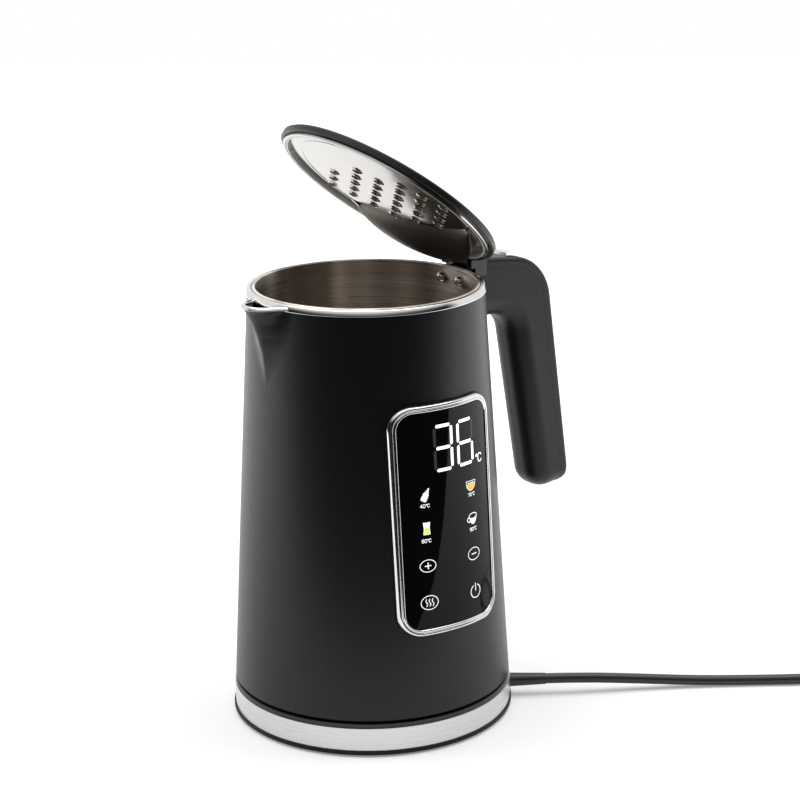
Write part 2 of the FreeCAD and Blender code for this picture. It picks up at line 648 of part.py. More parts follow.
def panel_layer(label, low, high, inset):
    """A plate that follows the shell's taper at the front, between two heights above the wall."""
    body = new_body(label)
    z0, z1 = d.panel_z0 - 3, d.panel_z1 + 3
    drawing = sketch_on(body, "YZ_Plane")
    polygon(drawing, [(-shell_r(z0) - low, z0), (-shell_r(z0) - high, z0),
                      (-shell_r(z1) - high, z1), (-shell_r(z1) - low, z1)])
    item = feature(body, "Revolution", drawing)
    item.ReferenceAxis = (drawing, ["V_Axis"])
    bind(item, "Angle", 76)
    item.Midplane = True
    outline = sketch_on(body, "XZ_Plane")
    rectangle(outline, -d.panel_w - 20, d.panel_w + 20, z0 - 5, z1 + 5)
    rounded_rectangle(outline, -d.panel_w + inset, d.panel_w - inset, d.panel_z0 + inset, d.panel_z1 - inset,
                      d.panel_corner - inset)
    extrude(body, "Pocket", outline, d.shell_r0 + 20, reverse=True)
    return body


def open_panel(body, inset):
    drawing = sketch_on(body, "XZ_Plane")
    rounded_rectangle(drawing, -d.panel_w + inset, d.panel_w - inset, d.panel_z0 + inset, d.panel_z1 - inset,
                      d.panel_corner - inset)
    extrude(body, "Pocket", drawing, d.shell_r0 + 20, reverse=True)


def make_panel():
    low = d.seat
    gasket_top = low + d.gasket_t
    frame = d.bezel_inset + d.bezel_w
    gasket = panel_layer("panel_gasket", low, gasket_top, size(0))
    open_panel(gasket, frame + 1.5)
    bezel = panel_layer("panel_bezel", gasket_top + 0.05, gasket_top + d.bezel_t, d.bezel_inset)
    open_panel(bezel, frame)
    panel_layer("panel_lens", gasket_top + 0.05, gasket_top + d.lens_t, frame + 0.15)
    board = new_body("display_board")
    drawing = sketch_on(board, "XZ_Plane", (0, 0, d.display_y))
    rectangle(drawing, -d.display_w, d.display_w, d.window_z0, d.window_z1)
    extrude(board, "Pad", drawing, d.display_t)
    guide = new_body("light_guide")
    back = d.display_y + d.display_t
    low, high = d.window_z0 + 1, d.window_z1 - 1
    drawing = sketch_on(guide, "YZ_Plane")
    polygon(drawing, [(-back, low), (-shell_r(low) + d.guide_sag, low), (-shell_r(high) + d.guide_sag, high),
                      (-back, high)])
    extrude(guide, "Pad", drawing, 2 * d.guide_w, symmetric=True)


def top_z(x):
    """Height of the handle's straight top at a distance from the middle."""
    return d.top_z - d.top_slope * (size(x) - d.handle_front)


def outer_x(z):
    """Back face of the grip at a height."""
    return d.corner_x + d.outer_slope * (d.corner_z - size(z))


def seam_corner():
    """Where the cover's inner faces would meet, one cover thickness inside the outer corner."""
    x = d.corner_x - d.cover_t * 0.88
    return x, top_z(x) - d.cover_t


def seam_end():
    """Where the seam leaves the foot of the grip, one cover thickness inside its back."""
    x = d.foot_out_x - d.cover_t
    return x, d.foot_in_z + (d.foot_out_z - d.foot_in_z) * (x - d.foot_in_x) / (d.foot_out_x - d.foot_in_x)


def make_cover():
    corner_x, corner_z = seam_corner()
    seam_front = top_z(d.handle_front) - d.cover_t
    end_x, end_z = seam_end()
    cut_z = d.foot_out_z + d.cover_cut
    cover = new_body("handle_cover")
    slab(cover, [(d.handle_front, seam_front + d.seat), (corner_x + d.seat, corner_z + d.seat),
                 (end_x + d.seat, end_z), (outer_x(cut_z), cut_z), (d.corner_x, d.corner_z),
                 (d.handle_front, top_z(d.handle_front))], d.handle_w)
    round_edges(cover, d.bend_r, across_at(d.corner_x, d.corner_z))
    round_edges(cover, d.bend_r - d.cover_t, across_at(corner_x + d.seat, corner_z + d.seat))
    round_edges(cover, 2 * d.cover_t, across_at(outer_x(cut_z), cut_z))
    round_edges(cover, d.cover_round, side_edges(is_outer_skin))
    centre_x, centre_z = bend_centre()
    opening = button_box(centre_x, centre_z, 10, d.bend_r + 6, d.button_l / 2 + 0.4)
    slab(cover, opening, d.button_w + 0.8, "Pocket")
    slab(cover, slider_profile(0.25, d.press + 1.5), d.slider_w + 0.6, "Pocket")
    side = d.handle_w / 2 + d.seat
    drawing = sketch_on(cover, "YZ_Plane")
    rectangle(drawing, -2 * side, 2 * side, end_z - d.handle_round, d.top_z + 2 * d.bend_r)
    rounded_rectangle(drawing, -side, side, end_z, d.top_z + d.bend_r, d.handle_round)
    extrude(cover, "Pocket", drawing, 2 * d.foot_out_x, reverse=True)


def make_handle():
    corner_x, corner_z = seam_corner()
    seam_front = top_z(d.handle_front) - d.cover_t
    end_x, end_z = seam_end()
    front = d.shell_r1 - 6
    body = new_body("handle_body")
    slab(body, [(front, d.arm_z), (d.inner_x, d.inner_z), (d.foot_in_x, d.foot_in_z),
                (end_x, end_z), (corner_x, corner_z), (d.handle_front, seam_front), (d.handle_front, d.shelf_z),
                (front, d.shelf_z)], d.handle_w)
    round_edges(body, d.bend_r - d.cover_t, across_at(corner_x, corner_z))
    round_edges(body, d.inner_round, across_at(d.inner_x, d.inner_z))
    round_edges(body, d.foot_round, across_at(d.foot_in_x, d.foot_in_z))
    round_edges(body, d.handle_round, side_edges(is_inner_skin))
    clear_of_shell(body, d.arm_z - 20, d.shell_z1 + 10, d.seat)
    slab(body, [(front, d.arm_z + 2.5), (d.mount_x, d.arm_z + 2.5), (d.mount_x, d.shelf_z - 2),
                (front, d.shelf_z - 2)], d.mount_w, "Pocket")
    centre_x, centre_z = bend_centre()
    pocket = button_box(centre_x, centre_z, d.spring_floor, d.bend_r + 4, d.button_l / 2 + 1)
    slab(body, pocket, d.button_w + 1.6, "Pocket")
    bracket = new_body("handle_bracket")
    slab(bracket, [(front, d.arm_z + 2.6), (d.mount_x - 0.1, d.arm_z + 2.6), (d.mount_x - 0.1, d.shelf_z - 2.1),
                   (front, d.shelf_z - 2.1)], d.mount_w - 0.2)
    clear_of_shell(bracket, d.arm_z - 20, d.shell_z1 + 10, d.seat + 0.1)
    screws = []
    for side in (1, -1):
        y, z = d.rivet_y * side, d.arm_z + 7
        for piece in (bracket, body):
            drill_x(piece, y, d.rivet_z, d.rivet_r + d.seat, d.shell_r1 - 10, d.pot_r + d.rivet_l - 1)
        drill_x(bracket, y, z, 1.6, d.shell_r1 - 10, d.mount_x + 2)
        drill_x(body, y, z, 1.6, d.mount_x - 2, d.mount_x + 13)
        screws.append(cylinder("screw", 1.5, 15, (d.mount_x - 3, y, z), (1, 0, 0)))
    group("handle_screws", screws)


def side_edges(on_skin):
    """Test for edges in the handle's two side faces that lie on a given stretch of its outline."""
    half = d.handle_w.value / 2

    def test(edge):
        box = edge.BoundBox
        if box.YLength > 1e-3 or abs(abs(box.YMin) - half) > 1e-3:
            return False
        return on_skin(edge.valueAt((edge.FirstParameter + edge.LastParameter) / 2))

    return test


def is_outer_skin(point):
    """True on the cover's top, bend and back."""
    from_top = top_z(point.x).value - point.z
    from_back = outer_x(point.z).value - point.x
    inside = d.cover_t.value * 0.6
    on_top = point.x > d.handle_front.value + 1 and from_top < inside
    on_back = point.z > d.foot_out_z.value - 1 and from_back < inside
    return on_top or on_back or in_bend(point)


def in_bend(point):
    centre_x, centre_z = bend_centre()
    reach = math.hypot(point.x - centre_x.value, point.z - centre_z.value)
    return abs(reach - d.bend_r.value) < 0.5 and point.x > centre_x.value and point.z > centre_z.value


def is_inner_skin(point):
    """True under the arm, down the inside of the grip and round its foot."""
    share = (d.inner_z.value - point.z) / (d.inner_z.value - d.foot_in_z.value)
    inner_line = d.inner_x.value + (d.foot_in_x.value - d.inner_x.value) * share
    under_arm = abs(point.z - d.arm_z.value) < 0.5 and point.x < d.inner_x.value
    in_grip = 0 < share < 1 and point.x < inner_line + 5 and point.x > d.handle_front.value
    at_foot = point.z < d.foot_out_z.value + 1.5
    return under_arm or in_grip or at_foot


def bend_centre():
    """Middle of the handle's bend, one bend radius inside its top and back faces."""
    top_len = (1 + DIMENSIONS["top_slope"] ** 2) ** 0.5
    back_len = (1 + DIMENSIONS["outer_slope"] ** 2) ** 0.5
    drop = d.bend_r * top_len
    reach = d.bend_r * back_len
    # both offset lines in the side view, solved for their crossing
    z_at = d.corner_z - drop
    x = (d.corner_x - reach + d.outer_slope * (d.corner_z - z_at - d.top_slope * d.corner_x)) / \
        (1 - d.outer_slope * d.top_slope)
    return x, z_at - d.top_slope * (x - d.corner_x)


def button_box(cx, cz, inner, outer, half):
    """A box in the side view, square to the press direction, between two distances from the bend's middle."""
    out = (cosine(d.button_dir), sine(d.button_dir))
    along = (-sine(d.button_dir), cosine(d.button_dir))
    points = []
    for reach, side in ((inner, -1), (outer, -1), (outer, 1), (inner, 1)):
        points.append((cx + out[0] * reach + along[0] * (size(half) * side),
                       cz + out[1] * reach + along[1] * (size(half) * side)))
    return points


def slider_profile(gap, extra):
    """The latch slider's side view, along the cover's slope, grown by a gap."""
    x0, x1 = d.slider_x0 - size(extra), d.slider_x1 + extra
    low = d.cover_t - size(0.3) + gap
    high = d.cover_t - size(0.3) - d.slider_t - gap
    return [(x0, top_z(x0) - low), (x1, top_z(x1) - low), (x1, top_z(x1) - high), (x0, top_z(x0) - high)]


def make_controls():
    cx, cz = bend_centre()
    button = new_body("release_button")
    inner = d.bend_r + d.button_proud - d.button_t
    slab(button, button_box(cx, cz, inner, d.bend_r + 8, d.button_l / 2), d.button_w)
    drawing = sketch_on(button, "XZ_Plane")
    circle(drawing, cx, cz, d.bend_r + 30)
    circle(drawing, cx, cz, d.bend_r + d.button_proud)
    extrude(button, "Pocket", drawing, d.button_w + 10, symmetric=True)
    leaf = new_body("button_spring")
    slab(leaf, button_box(cx, cz, d.spring_floor, inner - d.press - d.fit, 4), 8)
    slider = new_body("latch_slider")
    slab(slider, slider_profile(0, 0), d.slider_w)
    rivets = []
    for side in (1, -1):
        shank = cylinder("shank", d.rivet_r, d.rivet_l, (d.pot_r - 1.4, d.rivet_y * side, d.rivet_z), (1, 0, 0))
        head = doc.addObject("Part::Sphere", "head")
        bind(head, "Radius", d.rivet_head)
        head.Angle1 = 0
        turn_to(head, (-1, 0, 0))
        put_at(head, (d.pot_r - d.rivet_sink, d.rivet_y * side, d.rivet_z))
        rivet = doc.addObject("Part::Fuse", "rivet")
        rivet.Base = shank
        rivet.Tool = head
        rivets.append(rivet)
    group("pot_rivets", rivets)


def ear_outline(base_x):
    """Side view of the hinge block's cheeks, with cut corners, over the rim and against the handle."""
    back = d.handle_front - 0.2
    front = d.hinge_x - d.ear_l
    top = d.hinge_z + d.ear_h
    under = d.rim_z + 2 * d.fit
    return [(base_x, d.shelf_z), (back, d.shelf_z), (back, top - d.ear_cut * 0.5), (back - d.ear_cut * 0.5, top),
            (front + d.ear_cut * 0.8, top), (front, top - d.ear_cut), (front, under), (base_x, under)]


def make_hinge():
    base_x = d.rim_r + 0.5
    bracket = new_body("hinge_bracket")
    slab(bracket, [(base_x, d.shelf_z), (d.handle_front - 0.2, d.shelf_z),
                   (d.handle_front - 0.2, d.shelf_z + d.hinge_plate), (base_x, d.shelf_z + d.hinge_plate)],
         d.handle_w)
    for side in (1, -1):
        middle = (d.barrel_w + d.fit + d.ear_w / 2) * side
        drawing = sketch_on(bracket, "XZ_Plane", (0, 0, -middle - d.ear_w / 2))
        polygon(drawing, ear_outline(base_x))
        extrude(bracket, "Pad", drawing, d.ear_w)
    width = 2 * (d.barrel_w + d.fit + d.ear_w - d.pin_cover)
    drawing = sketch_on(bracket, "XZ_Plane")
    circle(drawing, d.hinge_x, d.hinge_z, d.hinge_pin + 0.03)
    extrude(bracket, "Pocket", drawing, width + 0.2, symmetric=True)
    axle = new_body("hinge_pin")
    drawing = sketch_on(axle, "XZ_Plane")
    circle(drawing, d.hinge_x, d.hinge_z, d.hinge_pin)
    extrude(axle, "Pad", drawing, width, symmetric=True)
    spring = new_body("lid_spring")
    drawing = sketch_on(spring, "XZ_Plane")
    circle(drawing, d.hinge_x, d.hinge_z, d.barrel_r - 0.5)
    circle(drawing, d.hinge_x, d.hinge_z, d.hinge_pin + 0.1)
    extrude(spring, "Pad", drawing, 2 * d.spring_w, symmetric=True)
    screws = []
    for side in (1, -1):
        screws.append(cylinder("hinge_screw", 1.3, d.hinge_plate + 4.4,
                               (d.hinge_x + 0.8, size(5.5 * side), d.shelf_z - 4.6)))
        for body in (bracket, doc.getObject("handle_body")):
            drill(body, d.hinge_x + 0.8, size(5.5 * side), 1.35, d.shelf_z - 4.8, d.shelf_z + 3)
        drill(doc.getObject("handle_bracket"), d.hinge_x + 0.8, size(5.5 * side), 1.35, d.shelf_z - 4.8, d.shelf_z)
    group("hinge_screws", screws)


def hang(item):
    """Puts a piece drawn closed, with the hinge as its origin, at the opened lid."""
    item.Placement = FreeCAD.Placement(Vector(0, 0, 0), FreeCAD.Rotation(Vector(0, 1, 0), 1.0))
    bind(item, "Placement.Base.x", d.hinge_x)
    bind(item, "Placement.Base.z", d.hinge_z)
    bind(item, "Placement.Rotation.Angle", d.lid_open)


def lid_turn(body, points, kind="Revolution"):
    """Turns a profile about the lid's own middle, drawn from the hinge."""
    raised = [(r, size(z) - d.hinge_z) for r, z in points]
    turn(body, kind, raised, shift=(-d.hinge_x, 0, 0))


def lid_post(body, x, y, radius, low, high):
    post(body, x - d.hinge_x, y, radius, low - d.hinge_z, high - d.hinge_z)


def lid_drill(body, x, y, radius, low, high):
    drill(body, x - d.hinge_x, y, radius, low - d.hinge_z, high - d.hinge_z)


def notch_lid(body):
    """Clears the hinge block at the back of the lid."""
    drawing = sketch_on(body, "XY_Plane", (0, 0, -20))
    rectangle(drawing, d.hinge_cut - d.hinge_x, d.cap_r - d.hinge_x + 5, -d.hinge_cut_w, d.hinge_cut_w)
    extrude(body, "Pocket", drawing, 50, reverse=True)


def make_cap():
    low = d.rim_z + d.cap_lift
    inner = d.cap_r - d.cap_t
    flange = d.dish_edge + d.dish_t
    cap = new_body("lid_cap")
    lid_turn(cap, [
        (0, d.cap_top - d.cap_t), (inner - 6, d.cap_z - 0.4), (inner, d.cap_z - 1.4), (inner, low),
        (d.cap_r - 0.5, low), (d.cap_r, low + 0.5), (d.cap_r, d.cap_z - 0.8), (d.cap_r - 1.2, d.cap_z + 0.2),
        (d.cap_r - 8, d.cap_z + 1.4), (0, d.cap_top)])
    for x, y in around(3, d.boss_at, 60.0):
        lid_post(cap, x, y, 3, flange, d.cap_z)
        lid_drill(cap, x, y, 1.25, flange - 1, d.cap_z - 0.5)
    notch_lid(cap)
    hang(cap)


def make_ramp(dish):
    """A wedge inside the skirt, from the plate down to the skirt's lip at the hinge."""
    edge = d.skirt_in + d.skirt_t / 2
    top = d.plate_z + d.dish_t / 2 - d.hinge_z
    foot = d.skirt_z + d.dish_t - d.hinge_z
    slab(dish, [(d.ramp_from - d.hinge_x, top), (edge - d.hinge_x, foot), (edge - d.hinge_x, top)], 2 * d.skirt_in)
    drawing = sketch_on(dish, "XY_Plane", (0, 0, -20))
    circle(drawing, -d.hinge_x, 0, edge)
    circle(drawing, -d.hinge_x, 0, 2 * d.cap_r)
    extrude(dish, "Pocket", drawing, 50, reverse=True)


def make_dish():
    """Perforated plate with a ramp and a skirt that deepen towards the hinge, and a flange with a bead."""
    rest = d.rim_z + d.fit
    flange = d.dish_edge + d.dish_t
    back = d.plate_z + d.dish_t
    dish = new_body("lid_dish")
    make_ramp(dish)
    lid_turn(dish, [(0, d.plate_z), (d.plate_r, d.plate_z), (d.skirt_in, d.skirt_z), (d.skirt_out, d.skirt_z),
                    (d.skirt_top, d.dish_edge), (d.skirt_top, back), (0, back)])
    ridge = d.plate_z - 0.2 - d.hinge_z
    foot = d.skirt_z - d.hinge_z
    slab(dish, [(-2 * d.hinge_x, ridge), (d.skirt_from - d.hinge_x, ridge), (d.skirt_out - d.hinge_x, foot),
                (0, foot), (0, -20), (-2 * d.hinge_x, -20)], 3 * d.cap_r, "Pocket")
    lid_turn(dish, [(d.skirt_in, d.dish_edge), (d.dish_r - d.lid_bead, d.dish_edge), (d.dish_r - d.lid_bead, rest),
                    (d.dish_r, rest), (d.dish_r, flange), (d.skirt_in, flange)])
    perforate(dish)
    for x, y in around(3, d.boss_at, 60.0):
        lid_drill(dish, x, y, 1.3, d.dish_edge - 1, flange + 1)
        lid_drill(dish, x, y, 1.9, d.dish_edge - 1, d.dish_edge + d.dish_t / 2)
    notch_lid(dish)
    hang(dish)
    seal = new_body("lid_seal")
    lid_turn(seal, [(d.seal_r - d.seal_w, d.seal_z), (d.seal_r, d.seal_z), (d.seal_r, d.dish_edge),
                    (d.seal_r - d.seal_w, d.dish_edge)])
    notch_lid(seal)
    hang(seal)
    screws = new_body("lid_screws")
    for x, y in around(3, d.boss_at, 60.0):
        lid_post(screws, x, y, 1.2, d.dish_edge, d.cap_z - 1.2)
        lid_post(screws, x, y, 1.8, d.dish_edge, d.dish_edge + d.dish_t / 2)
    hang(screws)


def make_arm():
    arm = new_body("lid_arm")
    drawing = sketch_on(arm, "XZ_Plane")
    circle(drawing, 0, 0, d.barrel_r)
    extrude(arm, "Pad", drawing, 2 * d.barrel_w, symmetric=True)
    low = d.dish_edge + d.dish_t + d.seat - d.hinge_z
    slab(arm, [(0, low), (0, low + d.arm_t), (-d.arm_l, low + d.arm_t), (-d.arm_l, low)], 2 * d.barrel_w)
    drawing = sketch_on(arm, "XZ_Plane")
    circle(drawing, 0, 0, d.barrel_r + 0.6)
    extrude(arm, "Pocket", drawing, 2 * (d.spring_w + d.fit), symmetric=True)
    drawing = sketch_on(arm, "XZ_Plane")
    circle(drawing, 0, 0, d.hinge_pin + d.running)
    extrude(arm, "Pocket", drawing, 4 * d.barrel_w, symmetric=True)
    hang(arm)


# how far the lid's steam holes go from its middle, in pitches towards the spout and across
HOLE_COLUMNS = 3
HOLE_ROWS = 5


def perforate(dish):
    """Steam holes in staggered rows, a diamond of them with its spout end left off."""
    drawing = sketch_on(dish, "XY_Plane", (0, 0, d.plate_z - d.hinge_z - 1))
    for i in range(-HOLE_COLUMNS, HOLE_COLUMNS + 1):
        for j in range(-HOLE_ROWS, HOLE_ROWS + 1):
            inside = abs(i) + abs(j) <= HOLE_ROWS and abs(j) <= 3 * (i + HOLE_COLUMNS)
            if inside and (i + j) % 2 == 1:
                circle(drawing, d.hole_x * i - d.hinge_x, d.hole_y * j, d.hole_r)
    extrude(dish, "Pocket", drawing, 4, reverse=True)


# the cord's points between its gland and its coil, in its own frame: x to the right of the usual view, y away,
# and the height of its underside
CORD_ROUTE = ((118.0, 5.15, 6.1), (150.0, 8.6, 3.5), (182.0, 11.2, 0.8), (214.0, 12.2, 0.1), (246.0, 12.4, 0.2))
# and between the coil and the plug, at the height of the plug's middle
TAIL_ROUTE = ((337.2, 92.0), (337.2, 110.0))


def route_point(x, y, under):
    return Vector(x, y, under + d.cord_r.value)


def tail_point(x, y):
    return Vector(x, y, d.plug_h.value / 2)


def coil_point(turns):
    """A point of the coil: spiral in on the lower layer, climb in half a turn, spiral out on the upper one."""
    inward = (d.coil_turns.value - 0.5) / 2
    past = min(max(turns - inward, 0.0), 0.5)
    radius = d.coil_r.value - d.coil_pitch.value * min(turns, inward)
    radius += d.coil_pitch.value * max(turns - inward - 0.5, 0.0)
    low = d.cord_r.value + d.tie_t.value + d.fit.value
    height = low + d.coil_rise.value * (1 - math.cos(2 * math.pi * past)) / 2
    angle = 2 * math.pi * turns - math.pi / 2
    return Vector(d.coil_x.value + radius * math.cos(angle), d.coil_y.value + radius * math.sin(angle), height)


def coil_heading(turns):
    step = 1 / 16
    ahead = coil_point(min(turns + step, d.coil_turns.value))
    behind = coil_point(max(turns - step, 0.0))
    if turns < step:
        behind, ahead = coil_point(0.0), coil_point(1e-4)
    elif turns > d.coil_turns.value - step:
        behind, ahead = coil_point(d.coil_turns.value - 1e-4), coil_point(d.coil_turns.value)
    return (ahead - behind).normalize()


def arc_from(start, heading, end):
    """The arc that leaves a point in a direction and ends at another."""
    chord = end - start
    along = Vector(chord).normalize()
    side = heading - along * heading.dot(along)
    if side.Length < 1e-9:
        return Part.LineSegment(start, end).toShape()
    bend = math.acos(max(-1.0, min(1.0, heading.dot(along))))
    middle = (start + end) * 0.5 + side.normalize() * (chord.Length / 2 * math.tan(bend / 2))
    return Part.Arc(start, middle, end).toShape()


def biarc(start, heading, end, leaving):
    """Two arcs that meet smoothly between two points with given directions."""
    span = end - start
    both = heading + leaving
    spread = 2 * (1 - heading.dot(leaving))
    root = math.sqrt(span.dot(both) ** 2 + spread * span.dot(span))
    reach = (root - span.dot(both)) / spread
    joint = (start + heading * reach + end - leaving * reach) * 0.5
    second = arc_from(end, leaving * -1, joint)
    second.reverse()
    return [arc_from(start, heading, joint), second]


def rounded_route(points):
    """Straight runs joined by tangent arcs; prints the tightest radius."""
    edges = []
    radii = []
    here = points[0]
    for before, corner, after in zip(points, points[1:], points[2:]):
        come = corner - before
        leave = after - corner
        cut = 0.45 * min(come.Length, leave.Length)
        first = corner - Vector(come).normalize() * cut
        last = corner + Vector(leave).normalize() * cut
        edges.append(Part.LineSegment(here, first).toShape())
        edges.append(arc_from(first, Vector(come).normalize(), last))
        radii.append(edges[-1].Curve.Radius)
        here = last
    edges.append(Part.LineSegment(here, points[-1]).toShape())
    print("cord bends from", round(min(radii)), "mm radius")
    return edges


def tube(label, edges):
    """A round cord along joined edges, with its volume held against section times length."""
    path = Part.Wire(edges)
    start = path.Edges[0].valueAt(path.Edges[0].FirstParameter)
    heading = path.Edges[0].tangentAt(path.Edges[0].FirstParameter)
    ring = Part.Wire(Part.makeCircle(d.cord_r.value, start, heading))
    shape = path.makePipeShell([ring], True, False)
    expected = math.pi * d.cord_r.value ** 2 * path.Length
    if abs(shape.Volume / expected - 1) > 0.01:
        raise RuntimeError(f"{label} is not a clean tube")
    item = doc.addObject("Part::Feature", label)
    item.Label = label
    item.Shape = shape
    spin_z(item, d.cord_turn)
    nodes.append(item)
    print(label, "length", round(path.Length))
    return path


def gap_to_itself(path):
    """Least gap between stretches of the coil that aren't neighbours along it."""
    apart = 6 * d.cord_r.value
    count = int(path.Length / 1.5)
    points = path.discretize(Number=count)
    skip = int(apart / (path.Length / count))
    least = min((a - b).Length for i, a in enumerate(points) for b in points[i + skip:])
    return least - 2 * d.cord_r.value


def make_cord():
    gland = new_body("cord_gland")
    drawing = sketch_on(gland, "XZ_Plane", (0, d.cord_z, 0))
    wall_in = d.band_r - d.band_t - 2.2
    polygon(drawing, [(d.gland_in, 0), (d.gland_out, 0), (d.gland_out, d.gland_tip), (d.base_r, d.gland_root),
                      (d.band_r, d.gland_r), (wall_in - d.fit, d.gland_r), (wall_in - d.fit, d.gland_flange),
                      (d.gland_in, d.gland_flange)])
    item = feature(gland, "Revolution", drawing)
    item.ReferenceAxis = (drawing, ["H_Axis"])
    item.Angle = 360
    spin_z(gland, d.cord_az)
    lead = 2 * d.cord_r.value
    turned_by = math.radians(d.cord_az.value - d.cord_turn.value)
    exit_point = Vector(d.gland_out.value * math.cos(turned_by), d.gland_out.value * math.sin(turned_by),
                        d.cord_z.value)
    entry = coil_point(0) - coil_heading(0) * lead
    run = [exit_point] + [route_point(*point) for point in CORD_ROUTE] + [entry - coil_heading(0) * 22, entry]
    tube("cord_run", rounded_route(run))
    turns = d.coil_turns.value
    coil = [Part.LineSegment(entry, coil_point(0)).toShape()]
    steps = round(turns * 4)
    for i in range(steps):
        a, b = turns * i / steps, turns * (i + 1) / steps
        coil += biarc(coil_point(a), coil_heading(a), coil_point(b), coil_heading(b))
    leaving = coil_point(turns) + coil_heading(turns) * lead
    coil.append(Part.LineSegment(coil_point(turns), leaving).toShape())
    path = tube("cord_coil", coil)
    print("cord_coil least gap to itself", round(gap_to_itself(path), 2))
    tail = [leaving, leaving + coil_heading(turns) * 18] + [tail_point(*point) for point in TAIL_ROUTE]
    tube("cord_tail", rounded_route(tail))


def make_tie():
    """A band round the coil's two layers."""
    middle = d.coil_r - d.coil_pitch * ((d.tie_at + 90) / 360)
    half = d.cord_r + d.fit * 2.5
    low = d.tie_t
    high = low + 2 * d.fit + 2 * d.cord_r + d.coil_rise
    tie = new_body("cord_tie")
    drawing = sketch_on(tie, "XZ_Plane")
    rectangle(drawing, middle - half - d.tie_t, middle + half + d.tie_t, 0, high + d.tie_t)
    rectangle(drawing, middle - half, middle + half, low, high)
    extrude(tie, "Pad", drawing, d.tie_w, symmetric=True)
    spin_z(tie, d.cord_turn + d.tie_at)
    bind(tie, "Placement.Base.x", d.coil_x * cosine(d.cord_turn) - d.coil_y * sine(d.cord_turn))
    bind(tie, "Placement.Base.y", d.coil_x * sine(d.cord_turn) + d.coil_y * cosine(d.cord_turn))


def make_plug():
    """A two-pin plug on the worktop at the cord's far end, drawn along its own X axis."""
    plug = new_body("plug")
    drawing = sketch_on(plug, "YZ_Plane", (0, 0, d.plug_sleeve))
    rounded_rectangle(drawing, -d.plug_w / 2, d.plug_w / 2, 0, d.plug_h, d.plug_round)
    extrude(plug, "Pad", drawing, d.plug_l)
    sleeve = sketch_on(plug, "XZ_Plane", (0, d.plug_h / 2, 0))
    polygon(sleeve, [(0, 0), (d.plug_sleeve + 1, 0), (d.plug_sleeve + 1, d.sleeve_r), (0, d.cord_r + d.fit)])
    item = feature(plug, "Revolution", sleeve)
    item.ReferenceAxis = (sleeve, ["H_Axis"])
    item.Angle = 360
    prongs = new_body("plug_pins")
    face = d.plug_sleeve + d.plug_l
    for side in (1, -1):
        drawing = sketch_on(prongs, "YZ_Plane", (0, 0, face))
        circle(drawing, d.prong_y * side, d.plug_h / 2, d.prong_r)
        extrude(prongs, "Pad", drawing, d.prong_l)
    x, y = TAIL_ROUTE[-1]
    for body in (plug, prongs):
        spin_z(body, d.cord_turn + 90)
        bind(body, "Placement.Base.x", x * cosine(d.cord_turn) - y * sine(d.cord_turn))
        bind(body, "Placement.Base.y", x * sine(d.cord_turn) + y * cosine(d.cord_turn))


def write_parts():
    doc.recompute()
    for item in doc.Objects:
        if "Invalid" in item.State or "Error" in item.State:
            raise RuntimeError(f"{item.Label} failed: {item.State}")
    os.makedirs("parts", exist_ok=True)
    for item in nodes:
        if item.Shape.isNull() or not item.Shape.isValid():
            raise RuntimeError(f"{item.Label} has no valid shape")
        item.Shape.exportStep(f"parts/{item.Label}.step")
        print(item.Label, len(item.Shape.Solids), round(item.Shape.Volume))


make_base()
make_coupling()
make_shell()
make_pot()
make_trim()
make_panel()
make_cover()
make_handle()
make_controls()
make_hinge()
make_cap()
make_dish()
make_arm()
make_cord()
make_tie()
make_plug()
write_parts()
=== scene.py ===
import json
import math

import bmesh
import bpy
from mathutils import Matrix, Vector


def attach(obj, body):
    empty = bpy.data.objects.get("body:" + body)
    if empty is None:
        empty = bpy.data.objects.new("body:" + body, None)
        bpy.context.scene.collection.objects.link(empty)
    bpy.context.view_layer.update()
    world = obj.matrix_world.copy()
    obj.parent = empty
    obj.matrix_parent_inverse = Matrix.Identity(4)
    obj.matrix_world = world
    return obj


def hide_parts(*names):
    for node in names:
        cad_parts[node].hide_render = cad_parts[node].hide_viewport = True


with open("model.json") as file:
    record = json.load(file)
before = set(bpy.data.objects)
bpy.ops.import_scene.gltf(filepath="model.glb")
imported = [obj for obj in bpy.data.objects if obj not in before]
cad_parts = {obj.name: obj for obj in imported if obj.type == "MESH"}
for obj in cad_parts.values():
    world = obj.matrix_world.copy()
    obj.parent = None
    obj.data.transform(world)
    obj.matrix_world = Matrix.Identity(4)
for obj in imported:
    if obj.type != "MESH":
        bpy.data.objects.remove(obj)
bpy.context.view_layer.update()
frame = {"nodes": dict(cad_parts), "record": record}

# Electric jug kettle on its power base, in the frame of the solids: +Z up, the handle at +X, the spout
# at -X and the touch panel at -Y. Blender works in metres, and MM turns a size in millimetres into them.
MM = 0.001
UP = Vector((0.0, 0.0, 1.0))
scene = bpy.context.scene
scene.view_settings.view_transform = "Standard"

# The photograph's camera
CAMERA_AT = Vector((-0.67570, -0.90930, 0.49511))
CAMERA_AIM = Vector((0.013869, -0.010642, 0.175319))
CAMERA_LENS = 97.304
CAMERA_SENSOR = 36.0
CAMERA_ROLL = math.radians(0.757)
CAMERA_NEAR = 0.05
CAMERA_FAR = 20.0
# the view's own directions on the worktop: to its right and away from it
RIGHT = Vector((0.79335, -0.60876, 0.0))
AWAY = Vector((0.60876, 0.79335, 0.0))


